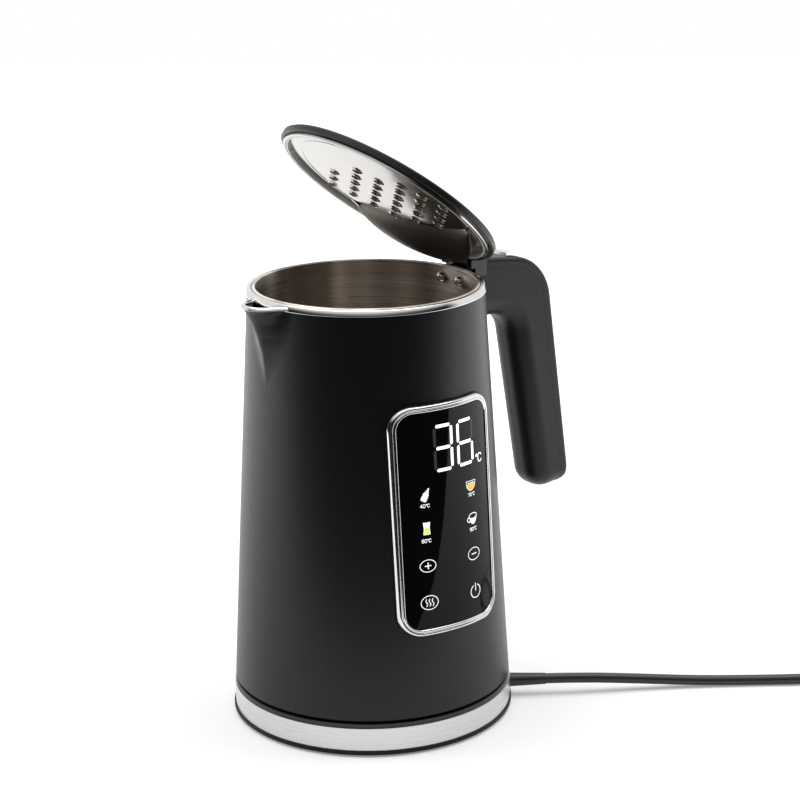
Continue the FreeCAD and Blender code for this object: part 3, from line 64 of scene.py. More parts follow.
def make_camera():
    data = bpy.data.cameras.new("camera")
    data.lens = CAMERA_LENS
    data.sensor_width = CAMERA_SENSOR
    data.sensor_fit = "HORIZONTAL"
    data.clip_start = CAMERA_NEAR
    data.clip_end = CAMERA_FAR
    camera = bpy.data.objects.new("camera", data)
    scene.collection.objects.link(camera)
    forward = (CAMERA_AIM - CAMERA_AT).normalized()
    level = RIGHT.normalized()
    upright = level.cross(forward)
    across = level * math.cos(CAMERA_ROLL) - upright * math.sin(CAMERA_ROLL)
    up = level * math.sin(CAMERA_ROLL) + upright * math.cos(CAMERA_ROLL)
    turn = Matrix((across, up, -forward)).transposed()
    camera.matrix_world = Matrix.Translation(CAMERA_AT) @ turn.to_4x4()
    scene.camera = camera


make_camera()

# The cord, from the strain relief along the worktop to its coil, its tail and its plug: millimetres to the
# view's right, away from it and up. Its length is in metres.
CORD_R = 2.9
CORD_SMOOTH = 6
CORD_ORDER = 3
CORD_EXIT = (97.907, 4.275, 9.0)
CORD_ROUTE = ((118.0, 5.15, 9.0), (150.0, 8.6, 6.4), (182.0, 11.2, 3.7), (214.0, 12.2, 3.0),
              (246.0, 12.4, 3.1))
COIL_LEAD = ((272.2, 13.0, 4.0), (294.2, 13.0, 4.0))
COIL_MIDDLE = (300.0, 48.3)
COIL_R = 35.3
COIL_PITCH = 7.6
COIL_TURNS = 2.25
COIL_CLIMB = 0.5
COIL_LOW = 4.0
COIL_RISE = 6.4
COIL_STEPS = 24
TAIL_ROUTE = ((335.3, 54.1, 10.4), (335.7, 72.1, 10.3), (337.2, 92.0, 8.7), (337.2, 110.0, 8.7))
on_cord = [frame["nodes"][name] for name in ("cord_tie", "plug", "plug_pins")]


def on_worktop(right, away, height):
    return RIGHT * (right * MM) + AWAY * (away * MM) + UP * (height * MM)


def coil_point(turns):
    """Spiral in on the lower layer, climb to the upper one, spiral out on it."""
    inward = (COIL_TURNS - COIL_CLIMB) / 2
    climb = min(max(turns - inward, 0.0), COIL_CLIMB)
    radius = COIL_R - COIL_PITCH * (min(turns, inward) - max(turns - inward - COIL_CLIMB, 0.0))
    height = COIL_LOW + COIL_RISE * (1 - math.cos(math.pi * climb / COIL_CLIMB)) / 2
    angle = math.tau * turns - math.pi / 2
    return (COIL_MIDDLE[0] + radius * math.cos(angle), COIL_MIDDLE[1] + radius * math.sin(angle), height)


def make_cord():
    steps = round(COIL_TURNS * COIL_STEPS)
    coil = [coil_point(COIL_TURNS * i / steps) for i in range(steps + 1)]
    route = [CORD_EXIT, *CORD_ROUTE, *COIL_LEAD, *coil, *TAIL_ROUTE]
    data = bpy.data.curves.new("cord", "CURVE")
    data.dimensions = "3D"
    data.bevel_depth = CORD_R
    data.bevel_resolution = CORD_SMOOTH
    data.resolution_u = CORD_SMOOTH
    data.use_fill_caps = True
    spline = data.splines.new("NURBS")
    spline.points.add(len(route) - 1)
    for point, place in zip(spline.points, route):
        point.co = (*on_worktop(*place), 1.0)
        point.radius = MM
    spline.order_u = CORD_ORDER
    spline.use_endpoint_u = True
    cord = bpy.data.objects.new("cord", data)
    scene.collection.objects.link(cord)
    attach(cord, "base")
    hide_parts("cord_run", "cord_coil", "cord_tail")
    return cord


cord = make_cord()
# what is put away beside the view doesn't show in the panel's gloss either
for piece in (cord, *on_cord):
    piece.visible_glossy = False


# Materials

MATERIALS = {}
# the middle part of a noise texture's range, which holds most of it
NOISE_RANGE = (0.3, 0.7)
# grain: how strongly it stands out, and the scale per metre of broad changes of tint
GRAIN_STRENGTH = 0.5
BROAD_SCALE = 9.0
# brushed lines: how strongly they stand out, their scale along, and how far they vary gloss and tint
LINE_STRENGTH = 0.6
LINE_SCALE = 6.0
LINE_SPREAD = 0.08
LINE_SHADE = 0.1
# upright light and dark zones in swept steel, a painted reflection tinted into its colour: their scale, the
# lines' share in them, tints and sharpness
PAINTED_SHEEN_SCALE = (34.0, 34.0, 1.5)
PAINTED_SHEEN_LINES = 0.25
PAINTED_SHEEN_TINTS = (0.64, 1.38)
PAINTED_SHEEN_RANGE = (0.44, 0.56)
# wiping marks on polished metal
MARKS_SCALE = 60.0
MARKS_STRETCH = (1.0, 1.0, 3.0)
# lit print: roughness, and its grain's size and relief in millimetres
PRINT_SURFACE = (0.45, 0.3, 0.01)


def map_range(nodes, links, value, limits, low, high, smooth=False):
    """A value between two limits brought to between low and high."""
    node = nodes.new("ShaderNodeMapRange")
    if smooth:
        node.interpolation_type = "SMOOTHSTEP"
    for socket, number in zip(("From Min", "From Max", "To Min", "To Max"), (*limits, low, high)):
        node.inputs[socket].default_value = number
    links.new(value, node.inputs["Value"])
    return node.outputs["Result"]


class Shade:
    """A material's node tree with a few short ways to add nodes."""

    def __init__(self, name, colour, metallic, roughness, **sockets):
        material = bpy.data.materials.new(name)
        material.use_nodes = True
        MATERIALS[name] = material
        self.nodes = material.node_tree.nodes
        self.links = material.node_tree.links
        self.shader = self.nodes["Principled BSDF"]
        self.colour = colour
        self.set("Base Color", (*colour, 1.0))
        self.set("Metallic", metallic)
        self.set("Roughness", roughness)
        for socket, value in sockets.items():
            self.set(socket.replace("_", " "), value)
        self.coordinates = self.nodes.new("ShaderNodeTexCoord").outputs["Object"]

    def set(self, socket, value):
        self.shader.inputs[socket].default_value = value

    def link(self, output, socket):
        self.links.new(output, self.shader.inputs[socket])

    def noise(self, scale, detail, stretch=(1.0, 1.0, 1.0)):
        place = self.nodes.new("ShaderNodeMapping")
        place.inputs["Scale"].default_value = stretch
        self.links.new(self.coordinates, place.inputs["Vector"])
        texture = self.nodes.new("ShaderNodeTexNoise")
        texture.inputs["Scale"].default_value = scale
        texture.inputs["Detail"].default_value = detail
        self.links.new(place.outputs["Vector"], texture.inputs["Vector"])
        return texture.outputs["Fac"]

    def blend(self, first, second, share):
        node = self.nodes.new("ShaderNodeMix")
        node.inputs["Factor"].default_value = share
        self.links.new(first, node.inputs["A"])
        self.links.new(second, node.inputs["B"])
        return node.outputs["Result"]

    def gloss(self, value, low, high):
        """Roughness between two values, by a texture."""
        self.link(map_range(self.nodes, self.links, value, NOISE_RANGE, low, high), "Roughness")

    def tint(self, value, low, high, limits=NOISE_RANGE):
        """Two colours, as shares of the material's own, mixed by a texture."""
        node = self.nodes.new("ShaderNodeValToRGB")
        for stop, place, share in zip(node.color_ramp.elements, limits, (low, high)):
            stop.position = place
            stop.color = (*[min(1.0, c * share) for c in self.colour], 1.0)
        self.links.new(value, node.inputs["Fac"])
        self.link(node.outputs["Color"], "Base Color")

    def bump(self, value, height, strength):
        node = self.nodes.new("ShaderNodeBump")
        node.inputs["Distance"].default_value = height
        node.inputs["Strength"].default_value = strength
        self.links.new(value, node.inputs["Height"])
        self.link(node.outputs["Normal"], "Normal")

    def sweep(self):
        """Draws the gloss out round the upright axis."""
        tangent = self.nodes.new("ShaderNodeTangent")
        tangent.direction_type = "RADIAL"
        tangent.axis = "Z"
        self.link(tangent.outputs["Tangent"], "Tangent")


def grained(name, colour, roughness, grain_mm, relief_mm, spread=0.06, shade=0.12, **sockets):
    """Moulded plastic, rubber or glass: a fine grain in relief and gloss, and broad changes of tint."""
    surface = Shade(name, colour, 0.0, roughness, **sockets)
    fine = surface.noise(1 / (grain_mm * MM), detail=3.0)
    surface.bump(fine, relief_mm * MM, GRAIN_STRENGTH)
    surface.gloss(fine, roughness - spread, roughness + spread)
    surface.tint(surface.noise(BROAD_SCALE, detail=2.0), 1 - shade, 1 + shade)


def brushed(name, colour, roughness, line_mm, relief_mm, swept_with_painted_sheen=False, **sockets):
    """Brushed metal: long level lines. Swept, its gloss is drawn out and its colour gets upright light and
    dark zones of painted reflection.
    """
    surface = Shade(name, colour, 1.0, roughness, **sockets)
    lines = surface.noise(1.0, detail=4.0, stretch=(LINE_SCALE, LINE_SCALE, 1 / (line_mm * MM)))
    surface.bump(lines, relief_mm * MM, LINE_STRENGTH)
    surface.gloss(lines, roughness - LINE_SPREAD, roughness + LINE_SPREAD)
    if swept_with_painted_sheen:
        # painted reflection: upright light and dark zones tinted into the colour
        painted_sheen = surface.noise(1.0, detail=1.0, stretch=PAINTED_SHEEN_SCALE)
        surface.tint(surface.blend(painted_sheen, lines, PAINTED_SHEEN_LINES), *PAINTED_SHEEN_TINTS, PAINTED_SHEEN_RANGE)
        surface.sweep()
    else:
        surface.tint(lines, 1 - LINE_SHADE, 1 + LINE_SHADE)


def polished(name, colour, roughness, wear=0.03, shade=0.04):
    """Polished metal: faint wiping marks in gloss and tint."""
    surface = Shade(name, colour, 1.0, roughness)
    marks = surface.noise(MARKS_SCALE, detail=4.0, stretch=MARKS_STRETCH)
    surface.gloss(marks, roughness - wear, roughness + wear)
    surface.tint(marks, 1 - shade, 1 + shade)


def glowing(name, colour, strength):
    """Numbers and signs that are lit from behind."""
    grained(name, colour, *PRINT_SURFACE, Emission_Color=(*colour, 1.0), Emission_Strength=strength)


def make_materials():
    """Each with its colour, its roughness, and its grain's or lines' size and relief in millimetres."""
    grained("shell_plastic", (0.0045, 0.0045, 0.0048), 0.38, 0.8, 0.1, Specular_IOR_Level=0.37)
    grained("handle_plastic", (0.0085, 0.0085, 0.0088), 0.42, 0.7, 0.08, Specular_IOR_Level=0.4)
    grained("black_plastic", (0.009, 0.009, 0.0094), 0.36, 0.5, 0.04)
    grained("dull_plastic", (0.006, 0.006, 0.0063), 0.5, 0.5, 0.04, Specular_IOR_Level=0.2)
    grained("hinge_plastic", (0.004, 0.004, 0.0043), 0.16, 0.8, 0.01, spread=0.03)
    grained("rubber", (0.03, 0.03, 0.031), 0.62, 0.3, 0.05)
    grained("silicone", (0.84, 0.83, 0.81), 0.4, 0.4, 0.02)
    grained("panel_glass", (0.003, 0.003, 0.0034), 0.04, 4.0, 0.0005, spread=0.012,
            Specular_IOR_Level=0.14)
    grained("light_guide", (0.7, 0.7, 0.72), 0.35, 0.6, 0.02)
    grained("circuit_board", (0.012, 0.09, 0.045), 0.35, 1.2, 0.05, shade=0.4)
    grained("cord_sheath", (0.01, 0.01, 0.0105), 0.32, 0.5, 0.02)
    grained("cord_tie", (0.05, 0.05, 0.052), 0.5, 0.3, 0.04)
    brushed("brushed_steel", (0.56, 0.525, 0.495), 0.26, 0.35, 0.004)
    brushed("satin_steel", (0.66, 0.655, 0.65), 0.3, 0.5, 0.003)
    # the pot's steel: drawn-out gloss, and painted reflection in upright light and dark zones of its colour
    brushed("pot_steel", (0.72, 0.645, 0.575), 0.32, 0.3, 0.004, swept_with_painted_sheen=True, Anisotropic=0.92,
            Anisotropic_Rotation=0.25)
    polished("polished_steel", (0.72, 0.715, 0.71), 0.1)
    polished("mirror_steel", (0.44, 0.427, 0.41), 0.13)
    # painted reflection: a far darker copy of the lid's steel, standing in for the dark pot that the ramp
    # mirrors
    polished("ramp_steel", (0.15, 0.132, 0.116), 0.34)
    polished("plain_steel", (0.5, 0.5, 0.51), 0.3)
    polished("aluminium", (0.66, 0.66, 0.67), 0.42, wear=0.06, shade=0.1)
    polished("brass", (0.72, 0.55, 0.27), 0.22)
    glowing("print_lit", (0.95, 0.95, 0.95), 1.0)
    glowing("print_faint", (0.02, 0.02, 0.022), 0.2)
    glowing("print_white", (0.8, 0.8, 0.8), 0.75)
    glowing("print_amber", (0.8, 0.42, 0.06), 0.7)
    glowing("print_lime", (0.62, 0.68, 0.12), 0.7)


# where a node's finish differs from its record slot's
FINISH = {"lid_dish": "mirror_steel", "hinge_bracket": "hinge_plastic", "lid_arm": "hinge_plastic",
          "lid_spring": "hinge_plastic", "lid_seal": "silicone", "inner_pot": "pot_steel",
          "base_pan": "dull_plastic", "panel_gasket": "dull_plastic"}


def paint_nodes():
    for row in frame["record"]["subparts"]:
        node = row["node"]
        for place in frame["nodes"][node].material_slots:
            place.material = MATERIALS[FINISH.get(node, row["material_slot"])]


make_materials()
paint_nodes()
cord.data.materials.append(MATERIALS["cord_sheath"])


# Shaped pieces. Sizes from here on are in millimetres.

# edges that turn by more than this angle stay sharp
CREASE = math.radians(40.0)
# the shell's foot and top, as radius and height
SHELL_FOOT = (76.7, 20.5)
SHELL_TOP = (64.03, 237.2)
SKIN_TOP = 238.0
SKIN_T = 2.2
# the beak by height over the shell's top: how far its tip stands out, its nose and its hollow flanks
BEAK = ((-46.0, -0.1, 3.5, 60.0), (-40.2, 0.1, 3.5, 60.0), (-33.8, 0.7, 3.5, 60.0), (-25.0, 2.3, 3.5, 55.0),
        (-15.2, 5.4, 4.5, 40.0), (-7.2, 8.9, 6.5, 26.0), (-1.6, 11.8, 10.5, 14.0), (0.8, 13.5, 12.7, 10.0))
# the skin's points lie closer together round the spout, in degrees, and from below the beak upwards
SPOUT_SPAN = 36.0
SPOUT_STEPS = 48
ROUND_STEPS = 120
BEAK_FROM = 190.0
LOW_STEPS = 24
BEAK_STEPS = 64


def between(low, high, share):
    return low + (high - low) * share


def shell_radius(z):
    share = (z - SHELL_FOOT[1]) / (SHELL_TOP[1] - SHELL_FOOT[1])
    return between(SHELL_FOOT[0], SHELL_TOP[0], share)


def smooth_loop(points, steps=5):
    """A smooth closed line through a few points."""
    out = []
    for i in range(len(points)):
        a, b, c, e = (Vector(points[(i + k) % len(points)]) for k in (-1, 0, 1, 2))
        for step in range(steps):
            t = step / steps
            out.append(0.5 * (2 * b + (c - a) * t + (2 * a - 5 * b + 4 * c - e) * t ** 2
                              + (3 * b - a - 3 * c + e) * t ** 3))
    return out


def loft(rings, round_path):
    """Points and faces of a tube through closed rings, capped where its path is open."""
    count = len(rings[0])
    points = [point for ring in rings for point in ring]
    faces = []
    for i in range(len(rings) if round_path else len(rings) - 1):
        a = i * count
        b = (i + 1) % len(rings) * count
        for j in range(count):
            k = (j + 1) % count
            faces.append((a + j, a + k, b + k, b + j))
    if not round_path:
        faces.append(tuple(range(count)))
        faces.append(tuple(range(len(points) - count, len(points))))
    return points, faces


def add_piece(name, points, faces, body, slot, finish=None):
    mesh = bpy.data.meshes.new(name)
    mesh.from_pydata([Vector(point) * MM for point in points], [], faces)
    work = bmesh.new()
    work.from_mesh(mesh)
    bmesh.ops.recalc_face_normals(work, faces=work.faces)
    work.to_mesh(mesh)
    work.free()
    mesh.polygons.foreach_set("use_smooth", [True] * len(mesh.polygons))
    mesh.set_sharp_from_angle(angle=CREASE)
    mesh.materials.append(MATERIALS[finish or slot])
    piece = bpy.data.objects.new(name, mesh)
    scene.collection.objects.link(piece)
    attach(piece, body)
    return piece


def beak_at(z):
    """The beak's tip, nose and flank sizes at a height."""
    over = min(z - SHELL_TOP[1], BEAK[-1][0])
    for low, high in zip(BEAK, BEAK[1:]):
        if low[0] <= over <= high[0]:
            share = (over - low[0]) / (high[0] - low[0])
            return [between(a, b, share) for a, b in zip(low[1:], high[1:])]
    return None


def skin_radius(angle, z):
    """Outer radius of the shell at an angle from the spout: wall, hollow flank or nose."""
    wall = shell_radius(z)
    beak = beak_at(z)
    if not beak or beak[0] <= 0:
        return wall
    tip, nose, hollow = beak
    middle = wall + tip - nose
    flank_x = ((wall + hollow) ** 2 + middle ** 2 - (nose + hollow) ** 2) / (2 * middle)
    flank_y = math.sqrt(max(0.0, (wall + hollow) ** 2 - flank_x ** 2))
    angle = abs(angle)
    if angle >= math.atan2(flank_y, flank_x):
        return wall
    share = hollow / (nose + hollow)
    if angle <= math.atan2(flank_y * (1 - share), between(flank_x, middle, share)):
        return middle * math.cos(angle) + math.sqrt(nose ** 2 - (middle * math.sin(angle)) ** 2)
    along = flank_x * math.cos(angle) + flank_y * math.sin(angle)
    return along - math.sqrt(max(0.0, hollow ** 2 - flank_x ** 2 - flank_y ** 2 + along ** 2))


def from_spout(angle, radius, z):
    return Vector((-radius * math.cos(angle), -radius * math.sin(angle), z))


def make_skin():
    """The tapered shell, drawn out into its beak in one smooth surface."""
    fine = [SPOUT_SPAN * i / SPOUT_STEPS for i in range(-SPOUT_STEPS, SPOUT_STEPS + 1)]
    rest = 360 - 2 * SPOUT_SPAN
    coarse = [SPOUT_SPAN + rest * i / ROUND_STEPS for i in range(1, ROUND_STEPS)]
    levels = [between(SHELL_FOOT[1], BEAK_FROM, i / LOW_STEPS) for i in range(LOW_STEPS)]
    levels += [between(BEAK_FROM, SKIN_TOP, i / BEAK_STEPS) for i in range(BEAK_STEPS + 1)]
    rings = []
    for degrees in fine + coarse:
        angle = math.radians(degrees)
        section = [(skin_radius(math.remainder(angle, math.tau), z), z) for z in levels]
        outer = [from_spout(angle, radius, z) for radius, z in section]
        inner = [from_spout(angle, radius - SKIN_T, z) for radius, z in section]
        rings.append(outer + inner[::-1])
    piece = add_piece("shell_skin", *loft(rings, True), "jug", "shell_plastic")
    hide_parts("outer_shell")


# rolled steel round the pot's mouth, as radius and height
RIM_ROLL = ((64.5, 237.35), (65.05, 237.6), (64.85, 238.4), (64.4, 239.5), (63.85, 240.35),
            (63.2, 240.75), (62.8, 240.6), (62.55, 240.3), (62.2, 240.5), (61.8, 240.4), (61.5, 239.6),
            (61.5, 238.4), (61.6, 237.4))
RIM_STEPS = 160
# and along the spout's lip, as how far in from its edge and height
LIP_ROLL = ((-0.1, 237.9), (-0.6, 238.1), (-0.35, 238.8), (0.15, 239.5), (0.9, 239.85), (1.6, 239.7),
            (2.05, 239.2), (2.15, 238.5), (1.95, 237.9))
LIP_STEP = 0.5
LIP_STEPS = 44


def make_rim():
    profile = smooth_loop(RIM_ROLL)
    rings = []
    for i in range(RIM_STEPS):
        angle = math.tau * i / RIM_STEPS
        rings.append([from_spout(angle, radius, z) for radius, z in profile])
    piece = add_piece("rim_roll", *loft(rings, True), "jug", "polished_steel")
    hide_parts("rim_ring")


def make_lip():
    """Follows the beak's edge from one side of the rim to the other."""
    profile = smooth_loop(LIP_ROLL)
    angles = [math.radians(LIP_STEP * i) for i in range(-LIP_STEPS, LIP_STEPS + 1)]
    edge = [from_spout(angle, skin_radius(angle, SKIN_TOP), 0.0) for angle in angles]
    rings = []
    for before, here, after in zip(edge, edge[1:], edge[2:]):
        inward = (before - after).cross(UP).normalized()
        rings.append([here + inward * inset + UP * z for inset, z in profile])
    piece = add_piece("spout_lip", *loft(rings, False), "jug", "polished_steel")
    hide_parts("spout_trim")


BEZEL_HALF = 32.9
BEZEL_LOW = 65.6
BEZEL_HIGH = 189.4
BEZEL_CORNER = 12.4
BEZEL_CORNER_STEPS = 12
BEZEL_SIDE_STEPS = 24
# the bezel's section, as how far in from its edge and height over the shell
BEZEL_ROLL = ((0.0, 0.9), (0.0, 1.7), (0.4, 2.45), (1.05, 2.75), (1.65, 2.6), (1.95, 2.3), (2.25, 2.6),
              (2.85, 2.75), (3.35, 2.45), (3.6, 1.9), (3.6, 0.9), (1.8, 0.88))


def on_shell(x, z, height):
    radius = shell_radius(z) + height
    return Vector((x, -math.sqrt(radius ** 2 - x ** 2), z))


def bezel_outline():
    """Points of a rounded rectangle, each with its outward direction."""
    out = []
    across, up = BEZEL_HALF - BEZEL_CORNER, (BEZEL_HIGH - BEZEL_LOW) / 2 - BEZEL_CORNER
    middle = (BEZEL_HIGH + BEZEL_LOW) / 2
    corners = [Vector((x * across, middle + z * up)) for x, z in ((1, 1), (-1, 1), (-1, -1), (1, -1))]
    for i, corner in enumerate(corners):
        for step in range(BEZEL_CORNER_STEPS + 1):
            angle = math.pi / 2 * (i + step / BEZEL_CORNER_STEPS)
            way = Vector((math.cos(angle), math.sin(angle)))
            out.append((corner + way * BEZEL_CORNER, way))
        start, end = out[-1][0], corners[(i + 1) % len(corners)] + way * BEZEL_CORNER
        for step in range(1, BEZEL_SIDE_STEPS):
            out.append((start.lerp(end, step / BEZEL_SIDE_STEPS), way))
    return out


def make_bezel():
    profile = smooth_loop(BEZEL_ROLL, steps=4)
    rings = []
    for place, way in bezel_outline():
        inset = [(place - way * depth, height) for depth, height in profile]
        rings.append([on_shell(spot.x, spot.y, height) for spot, height in inset])
    piece = add_piece("bezel_roll", *loft(rings, True), "jug", "polished_steel")
    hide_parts("panel_bezel")


# The panel's lit numbers and printed signs, as x and height on the lens

# how far the print stands over the shell, a stroke's longest face, and the steps of a dot and a ring
PRINT_OVER = 2.16
STROKE_STEP = 1.2
DOT_STEPS = 10
RING_STEPS = 28


class Print:
    """Strokes and fills on the lens."""

    def __init__(self):
        self.points = []
        self.faces = []

    def face(self, corners):
        start = len(self.points)
        self.points += [on_shell(x, z, PRINT_OVER) for x, z in corners]
        self.faces.append(tuple(range(start, start + len(corners))))

    def dot(self, x, z, radius):
        angles = [math.tau * i / DOT_STEPS for i in range(DOT_STEPS)]
        self.face([(x + radius * math.cos(a), z + radius * math.sin(a)) for a in angles])

    def stroke(self, path, width):
        """A line with round ends and joints."""
        for (x0, z0), (x1, z1) in zip(path, path[1:]):
            length = math.hypot(x1 - x0, z1 - z0)
            side_x, side_z = (z0 - z1) * width / 2 / length, (x1 - x0) * width / 2 / length
            steps = max(1, math.ceil(length / STROKE_STEP))
            for i in range(steps):
                ends = [(between(x0, x1, k / steps), between(z0, z1, k / steps)) for k in (i, i + 1)]
                near = [(x + side_x, z + side_z) for x, z in ends]
                far = [(x - side_x, z - side_z) for x, z in ends]
                self.face([near[0], near[1], far[1], far[0]])
        for x, z in path:
            self.dot(x, z, width / 2)

    def ring(self, x, z, across, up, width, start=0.0, end=360.0):
        angles = [math.radians(between(start, end, i / RING_STEPS)) for i in range(RING_STEPS + 1)]
        self.stroke([(x + across * math.cos(a), z + up * math.sin(a)) for a in angles], width)

    def fill(self, low, high):
        """A patch between two lines of points, from one end to the other."""
        for a, b, c, e in zip(low, low[1:], high[1:], high):
            self.face([a, b, c, e])


# seven bars of a number as lines on a cell one wide and two high
BARS = {"top": ((0, 2), (1, 2)), "upper_left": ((0, 1), (0, 2)), "upper_right": ((1, 1), (1, 2)),
        "middle": ((0, 1), (1, 1)), "lower_left": ((0, 0), (0, 1)), "lower_right": ((1, 0), (1, 1)),
        "bottom": ((0, 0), (1, 0))}
DIGIT_W = 10.7
DIGIT_H = 11.75
DIGIT_Z = 154.0
BAR_W = 1.75
BAR_GAP = 1.65
# each number's left edge and lit bars
DIGITS = ((-9.1, ("top", "upper_right", "middle", "lower_right", "bottom")),
          (6.15, ("top", "upper_left", "middle", "lower_left", "lower_right", "bottom")))
# strokes of small letters and numbers on a cell four wide and six high, and the way to the next letter
GLYPHS = {
    "0": ((1, 0), (3, 0), (4, 1.4), (4, 4.6), (3, 6), (1, 6), (0, 4.6), (0, 1.4), (1, 0)),
    "4": ((3, 0), (3, 6), (0, 1.8), (4, 1.8)),
    "7": ((0, 6), (4, 6), (1.6, 0)),
    "8": ((1, 3.2), (3, 3.2), (3.8, 4.2), (3.2, 6), (0.8, 6), (0.2, 4.2), (1, 3.2), (0, 1.8), (0.8, 0),
          (3.2, 0), (4, 1.8), (3, 3.2)),
    "9": ((4, 3.6), (3, 2.8), (1, 2.8), (0, 3.8), (0, 5), (1, 6), (3, 6), (4, 5), (4, 1.4), (3, 0),
          (0.8, 0)),
    "C": ((4, 4.8), (3, 6), (1, 6), (0, 4.6), (0, 1.4), (1, 0), (3, 0), (4, 1.2)),
    "o": ((0.6, 4.8), (1.2, 4.3), (1.8, 4.8), (1.8, 5.5), (1.2, 6), (0.6, 5.5), (0.6, 4.8))}
GLYPH_H = 6
GLYPH_STEP = 5.4
GLYPH_STEP_SMALL = {"o": 2.9}
# the degree sign beside the numbers and the temperatures below the signs: text, x and height on the lens
UNIT = ("oC", 19.4, 152.5)
UNIT_SIZE = (4.3, 0.6)
LABELS = (("40oC", -19.0, 135.5), ("70oC", 12.0, 135.6), ("80oC", -19.0, 116.6), ("90oC", 12.3, 116.5))
LABEL_SIZE = (1.75, 0.32)


def write(sheet, text, x, z, height, width):
    scale = height / GLYPH_H
    for letter in text:
        sheet.stroke([(x + u * scale, z + v * scale) for u, v in GLYPHS[letter]], width)
        x += GLYPH_STEP_SMALL.get(letter, GLYPH_STEP) * scale


def print_numbers(lit, faint):
    for left, bars in DIGITS:
        for bar, ends in BARS.items():
            (u0, v0), (u1, v1) = [(left + u * DIGIT_W, DIGIT_Z + v * DIGIT_H) for u, v in ends]
            length = math.hypot(u1 - u0, v1 - v0)
            cut_u, cut_v = (u1 - u0) / length * BAR_GAP, (v1 - v0) / length * BAR_GAP
            sheet = lit if bar in bars else faint
            sheet.stroke([(u0 + cut_u, v0 + cut_v), (u1 - cut_u, v1 - cut_v)], BAR_W)
    write(lit, *UNIT, *UNIT_SIZE)


THIN = 0.35
# a feeding bottle's place and lean, and its body and teat as height and half width
BOTTLE_AT = (-17.4, 138.9)
BOTTLE_LEAN = math.radians(-28)
BOTTLE_BODY = ((0.0, 1.2), (0.4, 1.7), (2.2, 1.8), (2.6, 1.5), (3.0, 1.75), (4.2, 1.6), (4.9, 1.1))
BOTTLE_TEAT = ((5.1, 1.1), (5.6, 1.1), (5.9, 0.6), (7.0, 0.5), (7.6, 0.3))


def print_bottle(white):
    """A leaning feeding bottle: a solid body with a collar, and a teat."""
    lean_c, lean_s = math.cos(BOTTLE_LEAN), math.sin(BOTTLE_LEAN)

    def leaning(part, side):
        line = [(side * half, v) for v, half in part]
        return [(BOTTLE_AT[0] + u * lean_c - v * lean_s, BOTTLE_AT[1] + u * lean_s + v * lean_c)
                for u, v in line]

    for part in (BOTTLE_BODY, BOTTLE_TEAT):
        white.fill(leaning(part, -1), leaning(part, 1))


# a bowl: its middle, its round's half width and depth, its drink's level, its brim's ends, and its foam's
# levels and how many points of the round it stays in from the brim
BOWL_AT = (14.4, 143.2)
BOWL_SIZE = (3.6, 4.6)
BOWL_ROUND = range(200, 341, 14)
BOWL_LEVEL = 142.3
BOWL_BRIM = ((10.9, 143.9), (18.0, 143.7))
BOWL_FOAM = (142.45, 142.95)
BOWL_FOAM_IN = 2


def arc(at, size, degrees):
    return [(at[0] + size[0] * math.cos(math.radians(a)), at[1] + size[1] * math.sin(math.radians(a)))
            for a in degrees]


def print_bowl(white, drink):
    """A round bowl of something warm."""
    low = arc(BOWL_AT, BOWL_SIZE, BOWL_ROUND)
    drink.fill(low, [(x, BOWL_LEVEL) for x, z in low])
    white.stroke([BOWL_BRIM[0], *low, BOWL_BRIM[1]], THIN)
    foam = low[BOWL_FOAM_IN:-BOWL_FOAM_IN]
    white.fill(*[[(x, level) for x, z in foam] for level in BOWL_FOAM])
    white.stroke(BOWL_BRIM, THIN)


# a waisted glass: its middle, its side as height and half width, and how many steps of it the drink fills
GLASS_X = -16.0
GLASS_SIDE = ((120.9, 1.7), (121.5, 1.85), (123.0, 1.55), (124.4, 1.5), (125.6, 1.65), (127.4, 1.85))
GLASS_FULL = 3


def print_glass(white, drink):
    """A tall waisted glass."""

    def side(way, part):
        return [(GLASS_X + way * half, z) for z, half in part]

    for sheet, part in ((drink, GLASS_SIDE[:GLASS_FULL + 1]), (white, GLASS_SIDE[GLASS_FULL:])):
        sheet.fill(side(-1, part), side(1, part))
    for way in (-1, 1):
        white.stroke(side(way, GLASS_SIDE), THIN)
    white.stroke(side(-1, GLASS_SIDE[:1]) + side(1, GLASS_SIDE[:1]), THIN)


# a cup of coffee: its mouth's ring, the round of its lip and of its body, and its ear
CUP_MOUTH = (15.0, 124.6, 3.0, 1.5, 0.5)
CUP_LIP = ((15.0, 124.3), (3.2, 1.5))
CUP_BODY = ((15.0, 123.9), (2.7, 3.9))
CUP_ROUND = range(180, 361, 15)
CUP_EAR = (11.9, 122.9, 1.3, 1.2, 0.45, 70.0, 290.0)


def print_cup(white):
    """A cup of coffee, seen from a little above."""
    white.ring(*CUP_MOUTH)
    white.fill(arc(*CUP_BODY, CUP_ROUND), arc(*CUP_LIP, CUP_ROUND))
    white.ring(*CUP_EAR)


# keys: more and less with their ring and bar, heat with its ring and waves, and power with its gap and stem
MORE_X = -16.2
LESS_X = 14.6
MORE_Z = 103.8
MORE_RING = (4.5, 3.3, 0.42)
MORE_BAR = 1.6
MORE_BAR_W = 0.6
HEAT_RING = (-16.2, 83.7, 4.9, 3.8, 0.42)
HEAT_WAVES = (-18.0, -16.2, -14.4)
HEAT_Z = 81.8
HEAT_H = 3.8
HEAT_W = 0.45
HEAT_STEPS = 8
POWER_RING = (14.7, 83.0, 3.7, 3.6, 0.5, 118.0, 422.0)
POWER_STEM = ((14.7, 83.4), (14.7, 87.3))
POWER_W = 0.5


